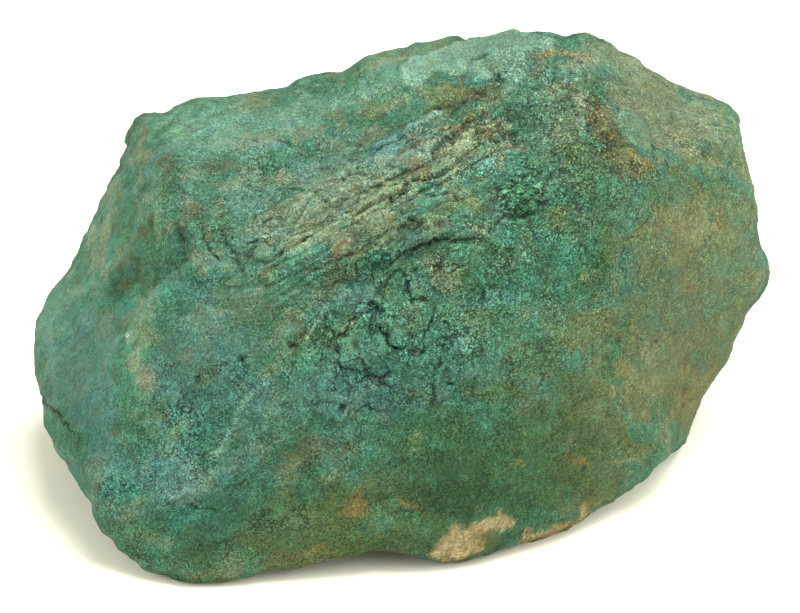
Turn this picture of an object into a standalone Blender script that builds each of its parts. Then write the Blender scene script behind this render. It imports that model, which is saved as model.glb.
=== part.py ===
"""A rough mineral specimen: one stone coated with woodwardite, lying on a flat place of its underside.

The stone grew as one piece, so it is one object. Its form starts as a blunt block between named
facets, is sculpted with named ledges, ridges, grooves and hollows, and is then fitted to its profile,
the outline that it shows from a sight point in front of it and above.
"""

import itertools
import math

import bmesh
import bpy
import numpy as np

# Driving dimensions, in millimetres and degrees. +X is the viewer's right, +Y runs away from the
# viewer, +Z is up, and the stone lies on z = 0.
MM = 0.001
CENTRE = np.array([0.06, -7.32, 23.0])
SIGHT_ELEVATION = 30.0
SIGHT_DISTANCE = 450.0
EDGE_SHARPNESS = 22
SKIN_SUBDIVISIONS = 5

# The block's facets: name, the way each faces (azimuth from +X towards +Y, elevation above level),
# and its distance from CENTRE.
FACETS = [
    ("top", -108, 71, 13.3),
    ("right shoulder", -17, 57, 25.0),
    ("front", -90, 20, 11.3),
    ("lower front", -80, 0, 17.2),
    ("lower right front", -60, 0, 18.0),
    ("left front", -101, 21, 13.6),
    ("left end", -150, 27, 24.6),
    ("left underside", -165, -28, 38.0),
    ("right end", 8, 4, 39.0),
    ("right front", -43, 9, 19.8),
    ("right underside", -26, -38, 32.2),
    ("base", 0, -90, 24.6),
    ("back", 90, 8, 31.5),
    ("back left", 128, 2, 37.0),
    ("back right", 50, -5, 40.0),
    ("back bevel", 100, 50, 29.5),
    ("back underside", 80, -42, 32.5),
]

# The profile, seen from the sight point in the plane through CENTRE that faces it: x to the right,
# y up, counted from CENTRE. It runs clockwise from the left end.
PROFILE = [
    (-38.2, -1.4), (-37.1, 1.7), (-35.5, 3.4), (-34.1, 5.5), (-33.4, 7.5), (-32.0, 9.7), (-31.3, 11.9),
    (-29.6, 14.8), (-29.0, 17.3), (-28.6, 19.0), (-27.0, 20.7), (-25.9, 20.4), (-24.8, 20.6),
    (-22.9, 21.7), (-20.7, 22.2), (-17.9, 22.2), (-12.1, 23.0), (-10.8, 23.9), (-8.3, 24.7),
    (-6.4, 24.6), (-4.9, 25.6), (-3.2, 26.6), (-1.5, 26.8), (0.2, 27.4), (2.5, 27.9), (5.9, 28.5),
    (7.5, 28.3), (9.7, 28.7), (10.8, 29.2), (12.5, 29.2), (13.3, 28.9), (14.8, 29.1), (17.3, 28.6),
    (19.3, 29.1), (20.4, 28.8), (22.1, 27.7), (24.5, 26.4), (26.4, 25.0), (28.6, 23.8), (30.6, 22.9),
    (33.4, 22.1), (35.1, 21.0), (35.9, 19.8), (36.0, 17.3), (36.7, 14.8), (37.7, 10.0), (37.8, 7.7),
    (38.4, 5.8), (39.0, 4.5), (38.9, 2.7), (38.5, 1.3), (37.1, -0.4), (35.5, -3.3), (34.8, -5.6),
    (33.4, -7.6), (31.7, -9.8), (31.6, -10.7), (30.6, -12.6), (30.3, -14.1), (29.5, -14.9),
    (27.5, -16.6), (24.9, -18.9), (20.5, -21.7), (18.5, -23.1), (16.2, -24.6), (10.6, -25.8),
    (5.5, -27.3), (3.5, -27.1), (1.0, -26.6), (-2.5, -26.3), (-7.2, -27.0), (-13.9, -27.9),
    (-16.7, -28.9), (-19.8, -29.4), (-22.4, -29.4), (-26.3, -28.2), (-28.3, -26.7), (-30.3, -24.9),
    (-32.0, -22.8), (-32.8, -20.4), (-36.0, -15.5), (-37.5, -12.4), (-37.7, -10.1), (-38.7, -5.0),
]

# Round swells and hollows: name, where they are seen (x, y), half width, half height, how far they
# are turned, and how far they stand out or sink in.
SWELLS = [
    ("left bulge", (-19.0, -3.5), 7.5, 6.0, 25, 1.8),
    ("front bulge", (2.0, -7.0), 11.0, 8.0, 0, 0.8),
    ("left hollow", (-31.0, 0.6), 2.3, 4.4, -16, -3.0),
    ("left face swell", (-33.4, 5.0), 2.0, 5.0, -18, 1.6),
    ("shoulder face swell", (-28.6, 12.5), 1.4, 4.5, -8, 1.0),
    ("left end swell", (-34.3, -7.5), 3.6, 5.5, 10, 1.0),
    ("shoulder dent", (-11.8, 17.3), 2.0, 1.1, -10, -0.9),
    ("lump under the ledge", (4.4, 4.0), 5.5, 2.2, 12, 0.9),
    ("low lens", (12.3, 1.4), 3.6, 1.8, -5, 0.6),
    ("shaded hollow", (15.5, 7.0), 4.6, 2.6, 20, -1.0),
    ("knob", (12.6, 11.2), 2.4, 1.7, 20, 0.7),
    ("right saddle", (15.5, -4.0), 2.8, 9.0, -38, -0.8),
    ("peak hollow", (14.0, 19.0), 3.6, 3.0, 30, -0.8),
    ("right facet swell", (28.5, 2.0), 6.0, 8.0, -20, 1.0),
]

# Long forms along a line of seen points: name, half width, height, and the line.
RIDGES = [
    ("left shoulder ridge", 1.1, 1.1, [(-25.6, 17.0), (-24.4, 12.4), (-23.6, 8.3), (-22.9, 7.2)]),
    ("left groove", 1.3, -2.0, [(-26.9, 13.6), (-25.9, 8.0), (-26.0, 5.2), (-28.6, 3.4), (-30.8, 1.0)]),
    ("fold", 0.6, -1.1, [(-21.0, 8.3), (-20.0, 6.6), (-18.1, 4.1)]),
    ("bulge crest", 1.4, 1.2, [(-20.0, 3.7), (-24.0, 3.6), (-26.2, 1.0), (-27.8, -2.0), (-29.0, -5.0)]),
    ("peak ridge", 1.3, 1.2, [(19.0, 27.5), (19.5, 21.5), (18.4, 16.5)]),
    ("peak groove", 1.3, -2.0, [(20.4, 24.6), (21.3, 19.6), (22.6, 16.4)]),
    ("left crevice", 0.7, -1.3, [(-38.3, -9.6), (-36.8, -10.8), (-35.6, -11.9), (-35.0, -13.4)]),
    ("foot ridge", 1.0, 0.7, [(-24.4, -20.8), (-21.1, -20.0), (-16.4, -17.4), (-10.5, -12.4)]),
]

# Steps, where the side above a line stands out over the side below it: name, rise, how far the rise
# reaches up, sink, how far the sink reaches down, how gradual the step is, and the line from left to
# right.
MAIN_LEDGE_LINE = [
    (-7.8, 2.1), (-6.8, 2.6), (-5.5, 3.0), (-4.2, 2.6), (-3.2, 3.1), (-3.1, 4.3), (-1.5, 4.7),
    (-0.7, 5.4), (1.4, 6.4), (3.8, 7.3), (5.9, 7.2), (8.8, 7.3), (10.0, 8.7),
]
SMALL_LEDGE_LINE = [(9.8, 8.9), (11.6, 9.5), (13.7, 10.2), (15.3, 11.1)]
FOOT_LEDGE_LINE = [(-25.4, -21.8), (-22.0, -20.6), (-17.9, -18.8), (-15.0, -16.6), (-11.6, -14.0)]
RIGHT_LIP_LINE = [(22.0, 15.4), (25.0, 14.4), (27.5, 14.0), (30.5, 14.8), (33.0, 15.6)]
LEDGES = [
    ("main ledge", 0.6, 4.0, 0.6, 1.0, 0.2, MAIN_LEDGE_LINE),
    ("small ledge", 0.3, 2.0, 0.4, 0.9, 0.2, SMALL_LEDGE_LINE),
    ("foot ledge", 0.4, 2.5, 0.5, 3.2, 0.8, FOOT_LEDGE_LINE),
    ("right lip", 0.5, 2.6, 0.4, 2.0, 0.4, RIGHT_LIP_LINE),
]
LEDGE_TAPER = 0.18

# Sculpted forms lie on the side that faces the sight point. They are gone where a direction's share
# towards it is this low, and full where the share has risen by the fade.
SCULPTED_FROM = -0.25
SCULPTED_FADE = 0.45

# The arch between the stone's two front feet: where it is on the ground, its size and its height.
ARCH_PLACE = np.array([-2.6, -18.5])
ARCH_HALF_SIZE = np.array([5.0, 7.0])
ARCH_HEIGHT = 1.8
ARCH_FADE_HEIGHT = 6.0

# The undercut round the foot: how far the skin is drawn in at the ground, below what height, and the
# middle of the base that it is drawn towards.
UNDERCUT = 0.6
UNDERCUT_HEIGHT = 2.0
BASE_MIDDLE = np.array([0.0, -4.0])

# Uneven growth all over: wavelength, height and seed of each layer.
LUMPS = [(26.0, 1.4, 11), (13.0, 1.1, 12), (6.5, 0.70, 13)]
NOISE_GAIN = 1.6

# The fit to the profile: the outline is found at this many even angles, on this many rows of
# directions, from 45 to 144 degrees off the line of sight. The fit's broad part is averaged over
# this many angles and fades slowly inwards, and its fine part is rounded off and fades quickly.
OUTLINE_ANGLES = 720
OUTLINE_ROWS = 90
OUTLINE_SPAN = (0.25 * math.pi, 0.8 * math.pi)
BROAD_WIDTH = 30
FINE_WIDTH = 3
BROAD_FADE = 2
FINE_FADE = 12

CRUST_COLOUR = (0.16, 0.33, 0.27, 1.0)
CRUST_ROUGHNESS = 0.9
GROUND_BLOCK = (200.0, 200.0, 60.0)


def facing(azimuth, elevation):
    """The unit vector that points along an azimuth and an elevation, in degrees."""
    a = math.radians(azimuth)
    e = math.radians(elevation)
    return np.array([math.cos(a) * math.cos(e), math.sin(a) * math.cos(e), math.sin(e)])


RIGHT = np.array([1.0, 0.0, 0.0])
TO_SIGHT = facing(-90, SIGHT_ELEVATION)
UP_IN_SIGHT = np.cross(TO_SIGHT, RIGHT)


def block(directions):
    """The block's radius along each direction: one over the soft maximum (a power mean's sum) of each
    facet's own value, the direction's share along the facet over the facet's distance."""
    sides = np.array([facing(azimuth, elevation) / distance for _, azimuth, elevation, distance in FACETS])
    shares = np.maximum(directions @ sides.T, 0.0)
    return np.sum(shares**EDGE_SHARPNESS, axis=1) ** (-1.0 / EDGE_SHARPNESS)


def random_slopes(cells, seed):
    """A fixed direction for each cell of a lattice, by mixing the cell's three whole numbers."""
    keys = (cells + 4096).astype(np.uint64)
    mixed = keys[:, 0] * np.uint64(73856093) ^ keys[:, 1] * np.uint64(19349663)
    mixed ^= keys[:, 2] * np.uint64(83492791) ^ np.uint64(seed * 40503)
    mixed = (mixed ^ (mixed >> np.uint64(15))) * np.uint64(2246822519) & np.uint64(0xFFFFFFFF)
    mixed = (mixed ^ (mixed >> np.uint64(13))) * np.uint64(3266489917) & np.uint64(0xFFFFFFFF)
    turn = (mixed & np.uint64(0xFFFF)).astype(float) * (2 * math.pi / 65536)
    height = (mixed >> np.uint64(16)).astype(float) / 32768 - 1
    flat = np.sqrt(np.maximum(1 - height**2, 0.0))
    return np.stack([flat * np.cos(turn), flat * np.sin(turn), height], axis=1)


def rolling(points, wavelength, seed):
    """Smooth noise from -1 to 1: each lattice corner's slope, blended by a quintic fade."""
    places = points / wavelength
    cells = np.floor(places).astype(np.int64)
    inside = places - cells
    fade = inside**3 * (inside * (inside * 6 - 15) + 10)
    total = np.zeros(len(points))
    for corner in itertools.product((0, 1), repeat=3):
        weight = np.prod(np.where(corner, fade, 1 - fade), axis=1)
        slopes = random_slopes(cells + corner, seed)
        total += weight * np.sum(slopes * (inside - corner), axis=1)
    return total * NOISE_GAIN


def seen(points):
    """Where points, counted from CENTRE, are seen in the plane through CENTRE: x, y and how much
    nearer than the plane a length looks."""
    nearness = 1 - points @ TO_SIGHT / SIGHT_DISTANCE
    return points @ RIGHT / nearness, points @ UP_IN_SIGHT / nearness, nearness


def eased(share):
    """A share held between 0 and 1, with a gentle start and end."""
    held = np.clip(share, 0, 1)
    return held * held * (3 - 2 * held)


def line_distance(x, y, line):
    """The distance from each seen point to a line of points."""
    best = np.full(len(x), np.inf)
    for (ax, ay), (bx, by) in zip(line, line[1:]):
        run = np.array([bx - ax, by - ay])
        along = np.clip(((x - ax) * run[0] + (y - ay) * run[1]) / (run @ run), 0, 1)
        best = np.minimum(best, np.hypot(x - ax - along * run[0], y - ay - along * run[1]))
    return best


def above_line(x, y, line):
    """How far each seen point lies above a line that runs left to right, across its mean slope."""
    line_x, line_y = np.array(line).T
    slope = math.atan2(line_y[-1] - line_y[0], line_x[-1] - line_x[0])
    return (y - np.interp(x, line_x, line_y)) * math.cos(slope)


def line_taper(x, line):
    """1 along the middle of a line that runs left to right, falling to 0 past its two ends."""
    left = line[0][0]
    right = line[-1][0]
    reach = LEDGE_TAPER * (right - left)
    return eased((x - left + reach) / (2 * reach)) * eased((right + reach - x) / (2 * reach))


def front_share(directions):
    """1 on the side that faces the sight point, falling to 0 behind."""
    return eased((directions @ TO_SIGHT - SCULPTED_FROM) / SCULPTED_FADE)


def sculpting(points, directions):
    """How far the swells, ridges and ledges move each point out along its direction."""
    x, y, _ = seen(points)
    out = np.zeros(len(points))
    for _, (at_x, at_y), half_width, half_height, turn, height in SWELLS:
        c = math.cos(math.radians(turn))
        s = math.sin(math.radians(turn))
        across = ((x - at_x) * c + (y - at_y) * s) / half_width
        along = ((y - at_y) * c - (x - at_x) * s) / half_height
        out += height * np.exp(-(across**2 + along**2))
    for _, half_width, height, line in RIDGES:
        out += height * np.exp(-((line_distance(x, y, line) / half_width) ** 2))
    for _, rise, reach_up, sink, reach_down, blend, line in LEDGES:
        above = above_line(x, y, line)
        share = 0.5 + 0.5 * np.tanh(above / blend)
        risen = rise * np.exp(-((above / reach_up) ** 2))
        sunk = sink * np.exp(-((above / reach_down) ** 2))
        out += (share * risen - (1 - share) * sunk) * line_taper(x, line)
    return out * front_share(directions)


def unfitted(directions):
    """The stone's points, counted from CENTRE, before they are fitted to the profile: the block, plus
    uneven growth, plus what is sculpted, all along each direction."""
    radius = block(directions)
    points = directions * radius[:, None]
    for wavelength, height, seed in LUMPS:
        radius = radius + height * rolling(points, wavelength, seed)
    radius = radius + sculpting(points, directions)
    return directions * radius[:, None]


def profile_radius(turns):
    """The profile's distance from CENTRE's image at each angle, straight between its points."""
    x, y = np.array(PROFILE).T
    angles = np.arctan2(y, x)
    radii = np.hypot(x, y)
    order = np.argsort(angles)
    return np.interp(turns, angles[order], radii[order], period=2 * math.pi)


def smoothed(ring, width):
    """A closed row of values, each averaged with its neighbours by a bell of this width in steps."""
    steps = np.arange(-3 * width, 3 * width + 1)
    bell = np.exp(-((steps / width) ** 2))
    padded = np.concatenate([ring[-3 * width:], ring, ring[:3 * width]])
    return np.convolve(padded, bell / bell.sum(), mode="valid")


def outline_angles():
    """The even angles at which the outline is found."""
    return np.arange(OUTLINE_ANGLES) * 2 * math.pi / OUTLINE_ANGLES


def own_outline():
    """The furthest that the unfitted stone is seen from CENTRE's image at each even angle, found on
    a grid of directions round the line of sight."""
    turn, row = np.meshgrid(outline_angles(), np.linspace(*OUTLINE_SPAN, OUTLINE_ROWS))
    flat = np.sin(row)
    parts = (flat * np.cos(turn), flat * np.sin(turn), np.cos(row))
    directions = sum(part.reshape(-1, 1) * axis for part, axis in zip(parts, (RIGHT, UP_IN_SIGHT, TO_SIGHT)))
    x, y, _ = seen(unfitted(directions))
    nearest = np.round(np.arctan2(y, x) / (2 * math.pi) * OUTLINE_ANGLES).astype(int) % OUTLINE_ANGLES
    furthest = np.zeros(OUTLINE_ANGLES)
    np.maximum.at(furthest, nearest, np.hypot(x, y))
    return furthest


def fitted(points):
    """The points moved across the line of sight so that the stone's own outline lies on its profile.
    The broad part of the move fades slowly inwards from the outline, and its fine part quickly."""
    x, y, nearness = seen(points)
    turns = np.arctan2(y, x)
    angles = outline_angles()
    outline = own_outline()
    stretch = profile_radius(angles) / outline - 1
    broad = smoothed(stretch, BROAD_WIDTH)
    fine = smoothed(stretch - broad, FINE_WIDTH)
    rings = (outline, broad, fine)
    reach, slow, quick = (np.interp(turns, angles, ring, period=2 * math.pi) for ring in rings)
    inwards = np.clip(np.hypot(x, y) / reach, 0, 1)
    share = (slow * inwards**BROAD_FADE + quick * inwards**FINE_FADE) * nearness
    return points + np.outer(share * x, RIGHT) + np.outer(share * y, UP_IN_SIGHT)


def arched(places):
    """The places lifted in the arch, which fades out upwards."""
    across = np.sum(((places[:, :2] - ARCH_PLACE) / ARCH_HALF_SIZE) ** 2, axis=1)
    lift = ARCH_HEIGHT * np.exp(-across) * np.clip(1 - places[:, 2] / ARCH_FADE_HEIGHT, 0, 1)
    return places + np.outer(lift, (0, 0, 1))


def undercut(places):
    """The places near the ground drawn in towards the middle of the base, by the square of how far
    each lies below the undercut's height."""
    below = np.clip(1 - places[:, 2] / UNDERCUT_HEIGHT, 0, 1)
    inwards = BASE_MIDDLE - places[:, :2]
    inwards /= np.maximum(np.linalg.norm(inwards, axis=1), 1.0)[:, None]
    moved = places.copy()
    moved[:, :2] += UNDERCUT * (below**2)[:, None] * inwards
    return moved


def stone_places(directions):
    """The stone's points above the ground, in millimetres, one for each direction from its centre."""
    return undercut(arched(fitted(unfitted(directions)) + CENTRE))


def crust_material():
    """The dull blue-green crust."""
    material = bpy.data.materials.new("woodwardite_crust")
    material.use_nodes = True
    shader = material.node_tree.nodes["Principled BSDF"]
    shader.inputs["Base Color"].default_value = CRUST_COLOUR
    shader.inputs["Roughness"].default_value = CRUST_ROUGHNESS
    shader.inputs["Metallic"].default_value = 0.0
    return material


def ground_cutter(collection):
    """A block under z = 0, which cuts the stone's resting place flat."""
    mesh = bpy.data.meshes.new("ground_cutter")
    shape = bmesh.new()
    bmesh.ops.create_cube(shape, size=1.0)
    bmesh.ops.scale(shape, vec=[side * MM for side in GROUND_BLOCK], verts=shape.verts)
    bmesh.ops.translate(shape, vec=(0, 0, -GROUND_BLOCK[2] / 2 * MM), verts=shape.verts)
    shape.to_mesh(mesh)
    shape.free()
    cutter = bpy.data.objects.new("ground_cutter", mesh)
    cutter.hide_render = True
    cutter.display_type = "WIRE"
    collection.objects.link(cutter)
    return cutter


def stone(collection, cutter):
    """The specimen: an icosphere whose vertices are moved out to the stone's surface, cut flat below."""
    mesh = bpy.data.meshes.new("woodwardite_stone")
    shape = bmesh.new()
    bmesh.ops.create_icosphere(shape, subdivisions=SKIN_SUBDIVISIONS, radius=1.0)
    directions = np.array([vertex.co[:] for vertex in shape.verts])
    directions /= np.linalg.norm(directions, axis=1)[:, None]
    for vertex, place in zip(shape.verts, stone_places(directions) * MM):
        vertex.co = place
    shape.to_mesh(mesh)
    shape.free()
    mesh.shade_smooth()
    mesh.materials.append(crust_material())
    made = bpy.data.objects.new("woodwardite_stone", mesh)
    collection.objects.link(made)
    cut = made.modifiers.new("resting_place", "BOOLEAN")
    cut.operation = "DIFFERENCE"
    cut.object = cutter
    return made


def new_collection(name):
    """A new collection in the scene."""
    made = bpy.data.collections.new(name)
    bpy.context.scene.collection.children.link(made)
    return made


def main():
    """Clears the scene and builds the specimen."""
    for old in list(bpy.data.objects):
        bpy.data.objects.remove(old)
    cutter = ground_cutter(new_collection("cutters"))
    stone(new_collection("woodwardite_specimen"), cutter)


main()
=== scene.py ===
"""The looks of the woodwardite specimen: one stone under a dull blue-green crust.

The stone's skin is one closed surface worked out with numpy. A ball of directions is pushed out to a
blunt block between facets, sculpted with the stone's ledges, ridges and hollows, fitted to its profile,
and then covered with the fine relief of the crust. Each point also gets the crust's own colour there,
with painted shade in its hollows and lines and near the ground, and painted highlight on its crests.
"""

import itertools
import math

import bpy
import numpy as np
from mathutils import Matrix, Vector


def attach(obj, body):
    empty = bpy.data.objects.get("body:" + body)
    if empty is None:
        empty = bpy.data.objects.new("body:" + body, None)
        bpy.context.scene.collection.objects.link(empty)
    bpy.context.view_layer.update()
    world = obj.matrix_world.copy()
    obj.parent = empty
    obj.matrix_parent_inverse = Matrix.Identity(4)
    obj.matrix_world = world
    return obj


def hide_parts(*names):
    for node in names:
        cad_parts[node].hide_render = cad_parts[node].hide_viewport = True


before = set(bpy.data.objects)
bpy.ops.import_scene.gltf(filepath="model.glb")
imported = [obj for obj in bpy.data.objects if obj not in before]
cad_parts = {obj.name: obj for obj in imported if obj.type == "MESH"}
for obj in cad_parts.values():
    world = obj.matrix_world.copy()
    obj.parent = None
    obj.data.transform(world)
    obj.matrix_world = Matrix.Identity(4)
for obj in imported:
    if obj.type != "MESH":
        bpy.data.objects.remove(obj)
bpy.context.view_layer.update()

# Lengths are in millimetres and angles in degrees. +X is the viewer's right, +Y runs away from the
# viewer, +Z is up, and the stone lies on z = 0. Everything is worked out from CENTRE, inside the stone.
# The sight point is in front of it, this far away and this far above the level. The sharpness says how
# narrow the edges are where the block's facets meet.
MM = 0.001
CENTRE = np.array([0.06, -7.32, 23.0])
SIGHT_ELEVATION = 30.0
SIGHT_DISTANCE = 450.0
EDGE_SHARPNESS = 22

# The skin's grid: steps along each edge of a cube's face, how much closer its points are drawn together
# on the side that faces the sight point, and the half size and middle of the ellipsoid that they are
# spread over, to the right, up and towards the sight point.
SKIN_STEPS = 127
FRONT_CROWDING = 0.68
SPREAD_HALF_SIZE = np.array([38.0, 27.0, 24.0])
SPREAD_MIDDLE = np.array([0.0, 1.0, -11.0])

# The block's facets: name, the way each faces (azimuth from +X towards +Y, elevation above level),
# and its distance from CENTRE.
FACETS = [
    ("top", -108, 71, 13.3),
    ("right shoulder", -17, 57, 25.0),
    ("front", -90, 20, 11.3),
    ("lower front", -80, 0, 17.2),
    ("lower right front", -60, 0, 18.0),
    ("left front", -101, 21, 13.6),
    ("left end", -150, 27, 24.6),
    ("left underside", -165, -28, 38.0),
    ("right end", 8, 4, 39.0),
    ("right front", -43, 9, 19.8),
    ("right underside", -26, -38, 32.2),
    ("base", 0, -90, 23.3),
    ("back", 90, 8, 31.5),
    ("back left", 128, 2, 37.0),
    ("back right", 50, -5, 40.0),
    ("back bevel", 100, 50, 29.5),
    ("back underside", 80, -42, 32.5),
]

# The profile, seen from the sight point in the plane through CENTRE that faces it: x to the right,
# y up, counted from CENTRE. It runs clockwise from the left end.
PROFILE = [
    (-38.2, -1.4), (-37.1, 1.7), (-35.5, 3.4), (-34.1, 5.5), (-33.4, 7.5), (-32.0, 9.7), (-31.3, 11.9),
    (-29.6, 14.8), (-29.0, 17.3), (-28.6, 19.0), (-27.0, 20.7), (-25.9, 20.4), (-24.8, 20.6),
    (-22.9, 21.7), (-20.7, 22.2), (-17.9, 22.2), (-12.1, 23.0), (-10.8, 23.9), (-8.3, 24.7),
    (-6.4, 24.6), (-4.9, 25.6), (-3.2, 26.6), (-1.5, 26.8), (0.2, 27.4), (2.5, 27.9), (5.9, 28.5),
    (7.5, 28.3), (9.7, 28.7), (10.8, 29.2), (12.5, 29.2), (13.3, 28.9), (14.8, 29.1), (17.3, 28.6),
    (19.3, 29.1), (20.4, 28.8), (22.1, 27.7), (24.5, 26.4), (26.4, 25.0), (28.6, 23.8), (30.6, 22.9),
    (33.4, 22.1), (35.1, 21.0), (35.9, 19.8), (36.0, 17.3), (36.7, 14.8), (37.7, 10.0), (37.8, 7.7),
    (38.4, 5.8), (39.0, 4.5), (38.9, 2.7), (38.5, 1.3), (37.1, -0.4), (35.5, -3.3), (34.8, -5.6),
    (33.4, -7.6), (31.7, -9.8), (31.6, -10.7), (30.6, -12.6), (30.3, -14.1), (29.5, -14.9),
    (27.5, -16.6), (24.9, -18.9), (20.5, -21.7), (18.5, -23.1), (16.2, -24.6), (10.6, -25.8),
    (5.5, -27.3), (3.5, -27.1), (1.0, -26.6), (-2.5, -26.3), (-7.2, -27.0), (-13.9, -27.9),
    (-16.7, -28.9), (-19.8, -29.4), (-22.4, -29.4), (-26.3, -28.2), (-28.3, -26.7), (-30.3, -24.9),
    (-32.0, -22.8), (-32.8, -20.4), (-36.0, -15.5), (-37.5, -12.4), (-37.7, -10.1), (-38.7, -5.0),
]

# A spot, here and below, is an oval as it is seen from the sight point: its middle, half width, half
# height, and how far it is turned. An edge is where what lies on a spot ends, and over how much it fades,
# both as shares of the spot's reach.

# Round swells and hollows: name, spot, and how far they stand out or sink in.
SWELLS = [
    ("left bulge", (-19.0, -3.5), 7.5, 6.0, 25, 1.8),
    ("front bulge", (2.0, -7.0), 11.0, 8.0, 0, 0.8),
    ("left hollow", (-31.0, 0.6), 2.3, 4.4, -16, -3.0),
    ("left face swell", (-33.4, 5.0), 2.0, 5.0, -18, 1.6),
    ("shoulder face swell", (-28.6, 12.5), 1.4, 4.5, -8, 1.0),
    ("left end swell", (-34.3, -7.5), 3.6, 5.5, 10, 1.0),
    ("shoulder dent", (-11.8, 17.3), 2.0, 1.1, -10, -0.9),
    ("lump under the ledge", (4.4, 4.0), 5.5, 2.2, 12, 0.9),
    ("low lens", (12.3, 1.4), 3.6, 1.8, -5, 0.6),
    ("shaded hollow", (15.5, 7.0), 4.6, 2.6, 20, -1.0),
    ("knob", (12.6, 11.2), 2.4, 1.7, 20, 0.7),
    ("right saddle", (15.5, -4.0), 2.8, 9.0, -38, -0.8),
    ("peak hollow", (14.0, 19.0), 3.6, 3.0, 30, -0.8),
    ("right facet swell", (28.5, 2.0), 6.0, 8.0, -20, 1.0),
]

# Long forms along a line of seen points: name, half width, height, and the line.
RIDGES = [
    ("left shoulder ridge", 1.1, 1.1, [(-25.6, 17.0), (-24.4, 12.4), (-23.6, 8.3), (-22.9, 7.2)]),
    ("left groove", 1.3, -2.0, [(-26.9, 13.6), (-25.9, 8.0), (-26.0, 5.2), (-28.6, 3.4), (-30.8, 1.0)]),
    ("fold", 0.6, -1.1, [(-21.0, 8.3), (-20.0, 6.6), (-18.1, 4.1)]),
    ("bulge crest", 1.4, 1.2, [(-20.0, 3.7), (-24.0, 3.6), (-26.2, 1.0), (-27.8, -2.0), (-29.0, -5.0)]),
    ("peak ridge", 1.3, 1.2, [(19.0, 27.5), (19.5, 21.5), (18.4, 16.5)]),
    ("peak groove", 1.3, -2.0, [(20.4, 24.6), (21.3, 19.6), (22.6, 16.4)]),
    ("left crevice", 0.7, -1.3, [(-38.3, -9.6), (-36.8, -10.8), (-35.6, -11.9), (-35.0, -13.4)]),
    ("foot ridge", 1.0, 0.7, [(-24.4, -20.8), (-21.1, -20.0), (-16.4, -17.4), (-10.5, -12.4)]),
]

# Steps, where the side above a line stands out over the side below it: name, rise, how far the rise
# reaches up, sink, how far the sink reaches down, how gradual the step is, and the line from left to
# right.
MAIN_LEDGE_LINE = [
    (-7.8, 2.1), (-6.8, 2.6), (-5.5, 3.0), (-4.2, 2.6), (-3.2, 3.1), (-3.1, 4.3), (-1.5, 4.7),
    (-0.7, 5.4), (1.4, 6.4), (3.8, 7.3), (5.9, 7.2), (8.8, 7.3), (10.0, 8.7),
]
SMALL_LEDGE_LINE = [(9.8, 8.9), (11.6, 9.5), (13.7, 10.2), (15.3, 11.1)]
FOOT_LEDGE_LINE = [(-25.4, -21.8), (-22.0, -20.6), (-17.9, -18.8), (-15.0, -16.6), (-11.6, -14.0)]
RIGHT_LIP_LINE = [(22.0, 15.4), (25.0, 14.4), (27.5, 14.0), (30.5, 14.8), (33.0, 15.6)]
LEDGES = [
    ("main ledge", 0.6, 4.0, 0.6, 1.0, 0.2, MAIN_LEDGE_LINE),
    ("small ledge", 0.3, 2.0, 0.4, 0.9, 0.2, SMALL_LEDGE_LINE),
    ("foot ledge", 0.4, 2.5, 0.5, 3.2, 0.8, FOOT_LEDGE_LINE),
    ("right lip", 0.5, 2.6, 0.4, 2.0, 0.4, RIGHT_LIP_LINE),
]
LEDGE_TAPER = 0.18

# Sculpted forms lie on the side that faces the sight point. They are gone where a direction's share
# towards it is this low, and full where the share has risen by the fade. The crust's placed patterns
# do the same by the share of the skin's normal.
SCULPTED_FROM = -0.25
SCULPTED_FADE = 0.45
SHOWN_FROM = -0.2
SHOWN_FADE = 0.3

# The arch between the stone's two front feet: where it is on the ground, its size and its height.
ARCH_PLACE = np.array([-2.6, -18.5])
ARCH_HALF_SIZE = np.array([5.0, 7.0])
ARCH_HEIGHT = 1.8
ARCH_FADE_HEIGHT = 6.0

# The undercut round the foot: how far the skin is drawn in at the ground, below what height, and the
# middle of the base that it is drawn towards.
UNDERCUT = 0.6
UNDERCUT_HEIGHT = 2.0
BASE_MIDDLE = np.array([0.0, -4.0])


def facing(azimuth, elevation):
    """The unit vector that points along an azimuth and an elevation, in degrees."""
    a = math.radians(azimuth)
    e = math.radians(elevation)
    return np.array([math.cos(a) * math.cos(e), math.sin(a) * math.cos(e), math.sin(e)])


RIGHT = np.array([1.0, 0.0, 0.0])
TO_SIGHT = facing(-90, SIGHT_ELEVATION)
UP_IN_SIGHT = np.cross(TO_SIGHT, RIGHT)


def eased(share):
    """A share held between 0 and 1, with a gentle start and end."""
    held = np.clip(share, 0, 1)
    return held * held * (3 - 2 * held)


def bell(gap, width):
    """A bell's height: 1 where the gap is nothing, falling off on both sides over the width."""
    return np.exp(-((gap / width) ** 2))


# ---------------------------------------------------------------------------------------- noise

# This gain brings the noise to between about -1 and 1.
NOISE_GAIN = 1.6


def lattice_numbers(cells, seed):
    """Two fixed numbers from 0 to 65535 for each cell of a lattice: the cell's three whole numbers,
    each times a large odd number, mixed bit by bit."""
    keys = (cells + 4096).astype(np.uint64)
    mixed = keys[:, 0] * np.uint64(73856093) ^ keys[:, 1] * np.uint64(19349663)
    mixed ^= keys[:, 2] * np.uint64(83492791) ^ np.uint64(seed * 40503)
    mixed = (mixed ^ (mixed >> np.uint64(15))) * np.uint64(2246822519) & np.uint64(0xFFFFFFFF)
    mixed = (mixed ^ (mixed >> np.uint64(13))) * np.uint64(3266489917) & np.uint64(0xFFFFFFFF)
    return (mixed & np.uint64(0xFFFF)).astype(float), (mixed >> np.uint64(16)).astype(float)


def random_slopes(cells, seed):
    """A fixed direction for each cell of a lattice: an even turn and an even height on a ball."""
    turn, height = lattice_numbers(cells, seed)
    turn = turn * (2 * math.pi / 65536)
    height = height / 32768 - 1
    flat = np.sqrt(np.maximum(1 - height**2, 0.0))
    return np.stack([flat * np.cos(turn), flat * np.sin(turn), height], axis=1)


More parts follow.
